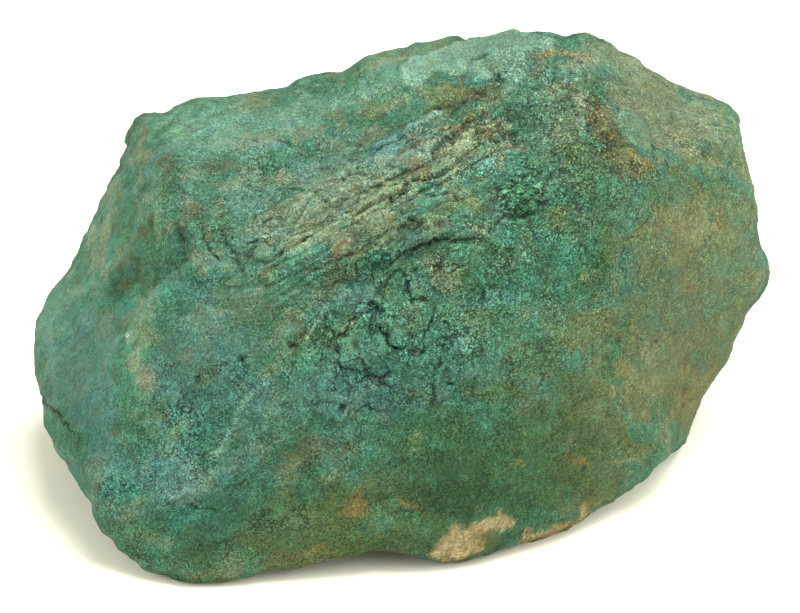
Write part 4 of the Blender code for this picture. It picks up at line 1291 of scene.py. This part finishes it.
    (PALE_TEAL, 0.35, (-22.0, -18.6), 3.6, 3.2, 0),
    (DARK_GREEN, 0.50, (5.5, -20.2), 9.0, 2.6, 0),
    (MOSS, 0.40, (20.5, -15.0), 8.0, 3.6, 38),
    (OLIVE, 0.45, (26.0, 6.0), 2.6, 2.2, 0),
    (BEIGE_GREEN, 0.50, (10.8, 16.4), 2.4, 1.6, 0),
    (MOSS, 0.45, (18.4, 16.4), 3.4, 1.8, 0),
    (BROWN, 0.40, (5.3, 11.2), 2.2, 0.8, 20),
    (TAN, 0.45, (0.0, 21.8), 2.2, 1.2, 0),
    (TAN, 0.35, (-15.8, 21.6), 3.0, 1.0, 0),
    (BLUE_TEAL, 0.55, (0.0, 16.6), 2.2, 1.4, 0),
    (DEEP_GREEN, 0.40, (-5.3, 16.5), 2.2, 1.3, 0),
    (BRIGHT_TEAL, 0.55, (-36.4, 1.0), 1.6, 4.2, -15),
    (MOSS, 0.50, (3.0, -24.0), 6.0, 2.2, 0),
    (RUST, 0.75, (-5.3, -19.9), 1.3, 1.1, 0),
    (GOLD, 0.70, (-4.4, -21.6), 1.9, 1.0, 0),
    (DARK_BROWN, 0.50, (-5.1, -19.5), 0.5, 0.5, 0),
    (GOLD, 0.60, (0.5, -20.9), 1.6, 0.4, -3),
    (GOLD, 0.40, (18.8, -16.2), 1.8, 0.5, 0),
    (GOLD, 0.40, (12.2, -15.9), 0.7, 0.3, 0),
    (PINK, 0.35, (18.2, -14.1), 0.5, 0.7, 0),
    (GOLD, 0.60, (20.3, -20.9), 0.8, 0.5, 20),
]

# How much of their own colour the facets on the right and the veins have; how far the stains' fraying
# frays the sheets; the colours of the sheets: outline, colour, strength, and how far crumbs fray them; a
# dark slit in the top one; and the middle of the cream patch: colour, strength, which way crumbs move the
# edge, and spot.
FACET_SHARE = 0.34
VEIN_SHARE = 0.45
SHEET_FRAYING = 0.22
SHEET_COLOURS = [
    (PALE_SHEET, SHEET_TEAL, 0.85, 0),
    (PALE_LENS, LENS_GREEN, 0.90, 0),
    (SMALL_FLAKE, PALE_TEAL, 0.80, 0),
    (CREAM_PATCH, CREAM, 0.92, 1),
    (CREAM_RIM, RIM_CREAM, 0.85, 1),
]
SLIT_EDGE = (1.4, 1.0)
SHEET_SLIT = (DARK_GREEN, 0.60, (8.7, 26.2), 1.2, 0.35, 14)
MIDDLE_EDGE = (1.3, 1.0)
CREAM_MIDDLES = [
    (CREAM_BROWN, 0.75, 1, (8.5, -24.5), 1.2, 1.1, 0),
    (MOSS, 0.75, -1, (9.6, -24.3), 0.8, 0.8, 0),
]

# Streaks of colour along the beds: how soft their edges are, then colour, strength, sign of the noise,
# and the threshold it passes.
STREAK_SOFTNESS = 0.4
STREAKS = [(BROWN, 0.55, 1, 0.35), (BLUE_TEAL, 0.55, -1, 0.40)]

# Noise in the colours, as wavelength, height and seed of each layer: what frays stains, what moves them
# to the right and up, the streaks, the crumbs on the cream patches, and the changes in lightness and in
# warmth.
STAIN_FRAYING = [(2.6, 1.0, 73), (1.1, 0.8, 74), (0.55, 0.6, 75)]
STAIN_SHIFTS = ([(3.0, 0.9, 82), (1.2, 0.45, 83)], [(3.0, 0.9, 84), (1.2, 0.45, 85)])
STREAK_NOISE = [(1.5, 1.0, 76), (0.7, 0.5, 77)]
CRUMB_NOISE = [(1.0, 0.30, 92), (0.5, 0.25, 93)]
LIGHTNESS_NOISE = [(1.7, 0.12, 78), (0.8, 0.12, 79)]
WARMTH_NOISE = [(2.2, 0.10, 80), (0.9, 0.10, 81)]

# How far single grains fray the stains and change the lightness, how much of its blue the crust keeps
# all over, and the least and the most light that it sends back.
SPECKLE_FRAYING = 0.25
SPECKLE_LIGHTNESS = 0.06
BLUE_TINT = 0.96
LIGHT_LIMITS = (0.004, 0.8)

# Painted shade near the ground darkens the skin below this height. At the ground it takes these
# shares of red, green and blue.
GROUND_SHADE_HEIGHT = 2.4
GROUND_SHADE_SHARES = (0.32, 0.38, 0.52)

# Painted shade and painted highlight: the colour follows the crust's height over the points close by,
# over this many rounds of averaging, and over those further off, darker in its hollows and cracks and
# paler on its crests: how strongly, per millimetre, and between which limits. Where the grit's or the
# crumbling places' dark pits take light away, the colour between them is paler by these shares.
NEAR_SHADE = 2.0
NEAR_ROUNDS = 6
FAR_SHADE = 0.8
FAR_ROUNDS = 60
SHADE_LIMITS = (-1.2, 0.35)
GRIT_GAIN = 0.20
CRUMBLING_GAIN = 0.22

# Spots where the colour is paler, and warmer, by these shares, darker and cooler below 0: the edge, and
# how much paler, how much warmer, and where, as a spot. The darker, cooler spot under the main ledge is
# painted shade.
TONE_SPOT_EDGE = (1.5, 1.0)
TONE_SPOTS = [
    (0.22, 0.00, (-33.7, 3.8), 10.0, 3.2, 66),
    (0.20, -0.03, (-28.4, -3.0), 8.0, 2.6, 70),
    (0.18, 0.00, (-21.0, 19.3), 5.0, 3.6, 10),
    (0.14, 0.02, (-7.0, 22.0), 6.0, 2.4, 15),
    (0.20, 0.00, (3.5, 24.0), 5.0, 3.4, 15),
    (0.20, 0.03, (-1.5, 11.2), 4.5, 2.0, 27),
    # Painted shade under the main ledge.
    (-0.20, -0.12, (0.0, 6.0), 3.6, 1.8, 20),
    (-0.15, -0.09, (-5.5, -9.0), 6.0, 4.0, 15),
    (-0.10, -0.06, (3.0, -8.0), 6.0, 5.0, 0),
    (-0.14, 0.10, (18.5, -15.5), 6.5, 7.0, 30),
    (-0.16, 0.10, (31.5, -8.0), 2.6, 6.0, -20),
    (-0.22, 0.00, (26.5, 21.5), 4.5, 2.5, -30),
    (-0.13, 0.05, (27.5, 14.0), 7.0, 5.0, -10),
    (0.14, 0.00, (-26.0, -14.0), 4.0, 8.0, 10),
    (-0.12, 0.00, (27.5, 0.0), 5.0, 8.0, -10),
    (0.12, 0.00, (2.0, -14.5), 3.0, 4.0, 0),
    (0.12, 0.00, (-10.5, -4.5), 3.0, 4.5, 0),
    (-0.10, 0.10, (21.0, -20.5), 3.5, 2.4, 20),
    (0.10, -0.08, (13.5, 0.5), 5.0, 2.6, 0),
    (0.10, 0.00, (-1.0, 0.5), 4.0, 2.6, 0),
    (0.00, -0.15, (-21.0, -18.3), 7.0, 5.5, 0),
    (-0.04, -0.12, (-19.0, -9.5), 6.0, 4.0, 0),
    (0.00, -0.12, (-31.0, -15.0), 3.0, 6.0, 20),
    (0.04, -0.10, (-23.7, 0.7), 5.0, 3.0, 20),
    (0.00, -0.07, (-8.0, 13.0), 10.0, 5.0, 25),
    (-0.06, -0.11, (13.5, 4.0), 4.0, 4.0, 0),
    (0.05, -0.10, (28.5, 1.0), 4.0, 3.0, 0),
    (0.00, 0.14, (-5.0, -22.5), 4.0, 3.6, 0),
    (-0.08, 0.10, (-15.5, -26.0), 5.0, 2.0, 0),
    (0.16, 0.00, (-26.0, 1.0), 2.6, 3.0, 0),
    (0.14, 0.10, (-26.0, 9.5), 2.4, 4.0, 0),
    (0.16, 0.00, (-20.8, -14.8), 2.6, 2.6, 0),
    (-0.08, -0.12, (-1.0, 16.0), 4.0, 2.4, 20),
    (0.00, -0.12, (-5.0, 0.8), 3.0, 2.4, 0),
    (-0.12, 0.08, (31.0, -10.5), 2.6, 3.4, -30),
    (0.00, 0.10, (21.5, -4.5), 3.0, 4.0, 0),
    (0.06, 0.14, (-4.0, -25.6), 6.0, 1.6, 0),
]


def stained(colours, colour, share):
    """The colours with a share of another laid over each."""
    return colours + share[:, None] * (np.array(colour) - colours)


def scattered(colours, places, patches, ragged, where):
    """The colours with patches laid over them, where each patch's rolling noise, plus its share of
    ragged, is over its threshold."""
    for colour, strength, wavelength, threshold, softness, seed in patches:
        over = rolling(places, wavelength, seed) + PATCH_FRAYING * ragged - threshold
        colours = stained(colours, colour, strength * eased(over / softness + 0.5) * where)
    return colours


def with_stains(colours, ground, x, y, ragged):
    """The colours with the stains laid over them one by one, with frayed edges, less so on a small
    stain, and then with the colour of the facets on the right."""
    for colour, strength, *spot in STAINS:
        fraying = STAIN_RAGGEDNESS * np.clip(min(spot[1:3]) / SMALL_STAIN, SMALL_STAIN_LEFT, 1.0)
        covered = on_spot(x, y, spot, STAIN_EDGE, fraying * ragged)
        colours = stained(colours, colour, strength * covered * ground.shown)
    return stained(colours, FACET_GREEN, FACET_SHARE * ground.zones["facet"])


def with_streaks(colours, ground):
    """The colours with streaks along the beds, where a noise drawn out along them is over a threshold."""
    streaks = layered(bed_places(ground.places), STREAK_NOISE)
    for colour, strength, sign, threshold in STREAKS:
        over = eased((sign * streaks - threshold) / STREAK_SOFTNESS)
        colours = stained(colours, colour, strength * ground.share(STREAKED) * over)
    return colours


def with_sheets(colours, ground, ragged):
    """The colours with the sheets, the spots on them and the veins laid over them."""
    x, y, shown = ground.x, ground.y, ground.shown
    crumbs = layered(ground.places, CRUMB_NOISE)
    for outline, colour, strength, frayed in SHEET_COLOURS:
        covered = on_sheet(x, y, outline, SHEET_FRAYING * ragged + frayed * crumbs)
        colours = stained(colours, colour, strength * shown * covered)
    colour, strength, *spot = SHEET_SLIT
    colours = stained(colours, colour, strength * shown * on_spot(x, y, spot, SLIT_EDGE))
    for colour, strength, sign, *spot in CREAM_MIDDLES:
        covered = on_spot(x, y, spot, MIDDLE_EDGE, 0.6 * ragged + sign * crumbs)
        colours = stained(colours, colour, strength * shown * covered)
    for half_width, _, line in VEINS:
        covered = bell(vein_gap(x, y, ragged, line), half_width)
        colours = stained(colours, PALE_TEAL, VEIN_SHARE * shown * covered)
    return colours


def tone_changes(ground, x, y):
    """How much paler, and how much warmer, the crust's colour is made at each point by the spots."""
    paler = np.zeros(len(x))
    warmer = np.zeros(len(x))
    for tone, warmth, *spot in TONE_SPOTS:
        near = on_spot(x, y, spot, TONE_SPOT_EDGE) * ground.shown
        paler += tone * near
        warmer += warmth * near
    return paler, warmer


def crust_colours(ground, raised, speckle):
    """The crust's colour at each point: teal with scattered patches, then the stains, streaks, sheets
    and veins, all of it changed in lightness and warmth in spots, with painted highlight on crests and
    painted shade in hollows and by the ground, and paler where dark pits take light away."""
    places = ground.places
    ragged = layered(places, STAIN_FRAYING) + SPECKLE_FRAYING * speckle
    x = ground.x + layered(places, STAIN_SHIFTS[0])
    y = ground.y + layered(places, STAIN_SHIFTS[1])
    colours = np.tile(np.array(TEAL), (len(places), 1))
    colours = scattered(colours, places, FRONT_PATCHES, ragged, 1.0)
    colours = scattered(colours, places, BACK_PATCHES, ragged, ground.zones["behind"])
    colours = with_stains(colours, ground, x, y, ragged)
    colours = with_streaks(colours, ground)
    colours = with_sheets(colours, ground, ragged)

    paler, warmer = tone_changes(ground, x, y)
    warmth = layered(places, WARMTH_NOISE) + warmer
    tints = np.stack([1 + warmth, np.ones(len(x)), BLUE_TINT - warmth], axis=1)
    # Painted shade near the ground: the colour darkens towards the bottom.
    ground_shade = eased(1 - (places[:, 2] + CENTRE[2]) / GROUND_SHADE_HEIGHT)
    tints *= 1 - np.outer(ground_shade, GROUND_SHADE_SHARES)
    light = 1 + layered(places, LIGHTNESS_NOISE) + SPECKLE_LIGHTNESS * speckle
    # Painted shade in hollows and painted highlight on crests, with each bed's own tone and the tone spots.
    light *= np.exp(np.clip(raised, *SHADE_LIMITS) + paler)
    light *= (1 + GRIT_GAIN * ground.grit) * (1 + CRUMBLING_GAIN * ground.zones["crumbling"])
    return np.clip(colours * tints * light[:, None], *LIGHT_LIMITS)


# --------------------------------------------------------------------------------- the material

# The crust's own fine patterns. A scale is in repeats to the metre. The grain darkens or brightens the
# colour by up to these powers of two, by these shares of the grit and of the clumps that it gathers in.
# A clump's edge is where the noise that makes the clumps passes from the lower density to the higher.
# A noise's detail is how many finer layers it has, and how strong each is beside the one before.
GRAIN_SCALE = 6400.0
GRAIN_DARK = 2.9
GRAIN_BRIGHT = 1.9
GRIT_SHARE = 0.5
CLUMP_SHARE = 0.7
CLUMP_SCALE = 420.0
CLUMP_DETAIL = (3.0, 0.6)
CLUMP_EDGE = (0.40, 0.60)
CLUMP_DENSITY = (0.15, 0.60)

# Pinholes, dark with painted shade, and short dark squiggles, thicker in the clumps, and this much
# thicker where the crust crumbles: scales, strengths, and where their edges and their thinning out
# begin and end.
CROWDING = 0.34
PIT_SCALE = 3000.0
PIT_STRENGTH = 0.90
PIT_EDGE = (0.19, 0.27)
PIT_FADE = 0.03
SQUIGGLE_SCALE = 760.0
SQUIGGLE_STRENGTH = 0.75
SQUIGGLE_DETAIL = (3.0, 0.6)
SQUIGGLE_EDGE = (0.008, 0.026)
SQUIGGLE_DENSITY = (0.30, 0.50)

# Painted glints of crystal faces: scale, strength, the edge of one, and which of the cells have one.
SPARK_SCALE = 1500.0
SPARK_STRENGTH = 1.6
SPARK_EDGE = (0.07, 0.15)
SPARK_PICK = (0.60, 0.64)

# The skin's painted shade lines: half width where they are nearly filled and where they are open, and
# the noise that changes it; where a line's edge begins and ends in half widths; strength; the noise that
# makes lines jagged, and how far; and how much brighter, as painted highlight, the crust is along them,
# between which distances.
LINE_WIDTHS = (0.0275, 0.132)
FILLING_SCALE = 1200.0
FILLING_DETAIL = (1.0, 0.5)
FILLING_EDGE = (0.35, 0.65)
LINE_EDGE = (0.4, 1.3)
LINE_STRENGTH = 0.92
JAG_SCALE = 2200.0
JAG_DETAIL = (2.0, 0.6)
JAG_EDGE = (0.25, 0.75)
JAG_REACH = 0.11
EDGE_LIGHT = 0.20
EDGE_LIGHT_REACH = (0.10, 0.35)

# How high the bump of these patterns is, in metres.
BUMP_HEIGHT = 0.00003


def new_node(tree, kind, **settings):
    """A new node with its settings; a setting that names an input sets that input."""
    node = tree.nodes.new(kind)
    for name, value in settings.items():
        if name in node.inputs.keys():
            node.inputs[name].default_value = value
        else:
            setattr(node, name, value)
    return node


def maths(tree, operation, *terms):
    """A Math node's result, with each term linked or set."""
    node = tree.nodes.new("ShaderNodeMath")
    node.operation = operation
    for socket, term in zip(node.inputs, terms):
        if isinstance(term, (int, float)):
            socket.default_value = term
        else:
            tree.links.new(term, socket)
    return node.outputs["Value"]


def ramp(tree, value, low, high, start, end):
    """A Map Range node's result: value from low to high becomes start to end."""
    node = tree.nodes.new("ShaderNodeMapRange")
    for name, number in (("From Min", low), ("From Max", high), ("To Min", start), ("To Max", end)):
        node.inputs[name].default_value = number
    tree.links.new(value, node.inputs["Value"])
    return node.outputs["Result"]


def skin_value(tree, name):
    """One of the skin's own values, as stored at its points."""
    return new_node(tree, "ShaderNodeAttribute", attribute_name=name).outputs["Fac"]


def noise_value(tree, place, scale, detail, roughness):
    """Noise from 0 to 1 at each place."""
    node = new_node(tree, "ShaderNodeTexNoise", Scale=scale, Detail=detail, Roughness=roughness)
    tree.links.new(place, node.inputs["Vector"])
    return node.outputs["Fac"]


def cell_values(tree, place, scale):
    """A pattern of cells: how far each place is from its cell's middle, and the cell's own number."""
    node = new_node(tree, "ShaderNodeTexVoronoi", Scale=scale)
    tree.links.new(place, node.inputs["Vector"])
    return node.outputs["Distance"], node.outputs["Color"]


def light_left(tree, dark, share):
    """The light that a dark pattern leaves: 1 less the pattern times its share."""
    return maths(tree, "SUBTRACT", 1.0, maths(tree, "MULTIPLY", dark, share))


def pits(tree, place, density):
    """The light that is left by round pits, dark with painted shade: one in some of the cells of a pattern.
    """
    distance, number = cell_values(tree, place, PIT_SCALE)
    hole = ramp(tree, distance, *PIT_EDGE, 1.0, 0.0)
    over = maths(tree, "SUBTRACT", density, number)
    return light_left(tree, hole, ramp(tree, over, -PIT_FADE, PIT_FADE, 0.0, PIT_STRENGTH))


def squiggles(tree, place, density):
    """The light that is left by thin dark squiggles, where a noise passes its middle value."""
    noise = noise_value(tree, place, SQUIGGLE_SCALE, *SQUIGGLE_DETAIL)
    off = maths(tree, "ABSOLUTE", maths(tree, "SUBTRACT", noise, 0.5))
    line = ramp(tree, off, *SQUIGGLE_EDGE, SQUIGGLE_STRENGTH, 0.0)
    return light_left(tree, line, ramp(tree, density, *SQUIGGLE_DENSITY, 0.0, 1.0))


def painted_shade_lines(tree, place):
    """The light that is left by the skin's painted shade lines, which are jagged and partly filled, with
    a painted highlight added along them."""
    skin_gap = skin_value(tree, "shade_line_gap")
    jag_noise = noise_value(tree, place, JAG_SCALE, *JAG_DETAIL)
    jag = ramp(tree, jag_noise, *JAG_EDGE, -JAG_REACH, JAG_REACH)
    gap = maths(tree, "ABSOLUTE", maths(tree, "ADD", skin_gap, jag))
    filling = noise_value(tree, place, FILLING_SCALE, *FILLING_DETAIL)
    width = ramp(tree, filling, *FILLING_EDGE, *LINE_WIDTHS)
    reach = maths(tree, "DIVIDE", gap, width)
    line = ramp(tree, reach, *LINE_EDGE, LINE_STRENGTH, 0.0)
    beside = ramp(tree, skin_gap, *EDGE_LIGHT_REACH, -EDGE_LIGHT, 0.0)
    edge = maths(tree, "MULTIPLY", beside, ramp(tree, reach, 1.0, 1.6, 0.0, 1.0))
    return light_left(tree, maths(tree, "ADD", line, edge), skin_value(tree, "shade_line_strength"))


def crust_material():
    """Dull, gritty crust: the skin's colour times two to the power of a sandy grain, with pinholes dark
    with painted shade and dark squiggles in clumps and where the crust crumbles, the skin's painted shade
    lines, painted glints on a few crystal faces, and a bump from all but the last."""
    material = bpy.data.materials.new("woodwardite_crust")
    material.use_nodes = True
    tree = material.node_tree
    link = tree.links.new
    shader = tree.nodes["Principled BSDF"]
    shader.inputs["Roughness"].default_value = 0.9
    shader.inputs["Specular IOR Level"].default_value = 0.2
    place = new_node(tree, "ShaderNodeTexCoord").outputs["Object"]
    colour = new_node(tree, "ShaderNodeAttribute", attribute_name="crust_colour").outputs["Color"]
    grit = skin_value(tree, "crust_grit")

    clumps = noise_value(tree, place, CLUMP_SCALE, *CLUMP_DETAIL)
    clumped = ramp(tree, clumps, *CLUMP_EDGE, *CLUMP_DENSITY)
    density = maths(tree, "MULTIPLY", grit, clumped)
    crowding = maths(tree, "MULTIPLY", skin_value(tree, "crust_crumbling"), CROWDING)
    crowded = maths(tree, "ADD", density, crowding)

    _, number = cell_values(tree, place, GRAIN_SCALE)
    grain = ramp(tree, number, 0.0, 1.0, -GRAIN_DARK, GRAIN_BRIGHT)
    even = maths(tree, "MULTIPLY", grit, GRIT_SHARE)
    gathered = maths(tree, "MULTIPLY", density, CLUMP_SHARE)
    power = maths(tree, "MULTIPLY", grain, maths(tree, "ADD", even, gathered))
    light = maths(tree, "POWER", 2.0, power)
    # Painted shade in the pinholes and along the skin's lines, and dark squiggles, darken the colour.
    for left in (pits(tree, place, crowded), squiggles(tree, place, crowded), painted_shade_lines(tree, place)):
        light = maths(tree, "MULTIPLY", light, left)

    # Painted glints, added to the colour.
    distance, number = cell_values(tree, place, SPARK_SCALE)
    spark = ramp(tree, distance, *SPARK_EDGE, 1.0, 0.0)
    picked = ramp(tree, number, *SPARK_PICK, 0.0, SPARK_STRENGTH)
    glint = maths(tree, "MULTIPLY", maths(tree, "MULTIPLY", spark, picked), grit)

    shaded = new_node(tree, "ShaderNodeVectorMath", operation="SCALE")
    link(colour, shaded.inputs[0])
    link(maths(tree, "ADD", light, glint), shaded.inputs["Scale"])
    link(shaded.outputs["Vector"], shader.inputs["Base Color"])

    bump = new_node(tree, "ShaderNodeBump", Strength=1.0, Distance=BUMP_HEIGHT)
    link(light, bump.inputs["Height"])
    link(bump.outputs["Normal"], shader.inputs["Normal"])
    return material


# ----------------------------------------------------------------------------- the stone itself


def store(mesh, name, kind, field, values):
    """Stores one of the skin's own values at its points."""
    layer = mesh.attributes.new(name, kind, "POINT")
    layer.data.foreach_set(field, values.astype(np.float32).ravel())


def stone_skin():
    """The stone: the broad form fitted to its profile, moved out along its normals by the crust's
    relief, fitted once more, and held above the ground it lies on."""
    directions, faces = ball_grid(SKIN_STEPS)
    smooth = fitted(unfitted(spread(directions)))
    normals = point_normals(smooth, faces)
    ground = Ground(smooth, normals)
    numbers = np.random.default_rng(GRIT_SEED)
    grains = np.clip(numbers.standard_normal(len(smooth)), -2, 2) * ground.grit
    speckle = np.clip(numbers.standard_normal(len(smooth)), -2, 2) * ground.grit
    height, lines, tone = crust_relief(ground, grains)
    # Painted shade in hollows and painted highlight on crests: each point's height over its neighbours'.
    near = height - levelled(height, faces, NEAR_ROUNDS)
    far = height - levelled(height, faces, FAR_ROUNDS)
    raised = NEAR_SHADE * near + FAR_SHADE * far + BED_TONE * tone
    colours = crust_colours(ground, raised, speckle)
    places = undercut(arched(fitted(smooth + normals * height[:, None]) + CENTRE))
    places[:, 2] = np.maximum(places[:, 2], 0)

    mesh = bpy.data.meshes.new("woodwardite_skin")
    mesh.from_pydata((places * MM).tolist(), [], faces.tolist())
    mesh.update()
    mesh.shade_smooth()
    opaque = np.concatenate([colours, np.ones((len(colours), 1))], axis=1)
    store(mesh, "crust_colour", "FLOAT_COLOR", "color", opaque)
    store(mesh, "crust_grit", "FLOAT", "value", ground.grit)
    # Where the painted shade lines run, and how strong each is.
    store(mesh, "shade_line_gap", "FLOAT", "value", lines.gap)
    store(mesh, "shade_line_strength", "FLOAT", "value", lines.strength)
    store(mesh, "crust_crumbling", "FLOAT", "value", ground.zones["crumbling"])
    mesh.materials.append(crust_material())
    skin = bpy.data.objects.new("woodwardite_skin", mesh)
    bpy.context.scene.collection.objects.link(skin)
    return skin


# ------------------------------------------------------------------------ floor, light, camera

# The light from all round; the lamps: name, place, width and power, in metres and watts; and the
# floor's colour, and how far it reaches, in metres.
WORLD_STRENGTH = 0.68
LAMPS = [
    ("lamp_above", (0.14, 0.01, 0.51), 0.40, 4.5),
    ("lamp_left", (-0.46, -0.20, 0.24), 0.35, 2.2),
    ("lamp_right", (0.43, -0.18, 0.26), 0.35, 2.4),
]
FLOOR_COLOUR = (0.89, 0.86, 0.71, 1)
FLOOR_REACH = 4.0

# The camera's view: its width in pixels, and how many of them show a millimetre at CENTRE.
VIEW_WIDTH = 800
VIEW_SCALE = 9.5


def pale_floor():
    """A wide, plain, pale floor."""
    mesh = bpy.data.meshes.new("floor")
    corners = [(-1, -1, 0), (1, -1, 0), (1, 1, 0), (-1, 1, 0)]
    mesh.from_pydata((FLOOR_REACH * np.array(corners)).tolist(), [], [(0, 1, 2, 3)])
    material = bpy.data.materials.new("pale_floor")
    material.use_nodes = True
    shader = material.node_tree.nodes["Principled BSDF"]
    shader.inputs["Base Color"].default_value = FLOOR_COLOUR
    shader.inputs["Roughness"].default_value = 0.9
    shader.inputs["Specular IOR Level"].default_value = 0.1
    mesh.materials.append(material)
    floor = bpy.data.objects.new("floor", mesh)
    bpy.context.scene.collection.objects.link(floor)


def looking(holder, place, target):
    """Puts a lamp or camera at a place, in metres, turned to look at a target."""
    holder.location = place
    holder.rotation_mode = "QUATERNION"
    holder.rotation_quaternion = (Vector(target) - Vector(place)).to_track_quat("-Z", "Y")
    bpy.context.scene.collection.objects.link(holder)


def daylight():
    """Plain soft light: a little from all round, and three wide lamps, above and on both sides."""
    world = bpy.data.worlds.new("daylight")
    world.use_nodes = True
    world.node_tree.nodes["Background"].inputs["Color"].default_value = (1, 1, 1, 1)
    world.node_tree.nodes["Background"].inputs["Strength"].default_value = WORLD_STRENGTH
    bpy.context.scene.world = world
    for name, place, size, power in LAMPS:
        lamp = bpy.data.lights.new(name, "AREA")
        lamp.size = size
        lamp.energy = power
        looking(bpy.data.objects.new(name, lamp), place, CENTRE * MM)


def sight_camera():
    """The camera at the sight point, with the lens that gives its view the scale it has."""
    camera = bpy.data.cameras.new("camera")
    camera.sensor_width = 36.0
    camera.lens = VIEW_SCALE * SIGHT_DISTANCE / VIEW_WIDTH * camera.sensor_width
    camera.clip_start = 0.01
    holder = bpy.data.objects.new("camera", camera)
    looking(holder, (CENTRE + TO_SIGHT * SIGHT_DISTANCE) * MM, CENTRE * MM)
    bpy.context.scene.camera = holder


skin = stone_skin()
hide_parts("woodwardite_stone")
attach(skin, "root")
pale_floor()
daylight()
sight_camera()
bpy.context.scene.view_settings.view_transform = "Standard"
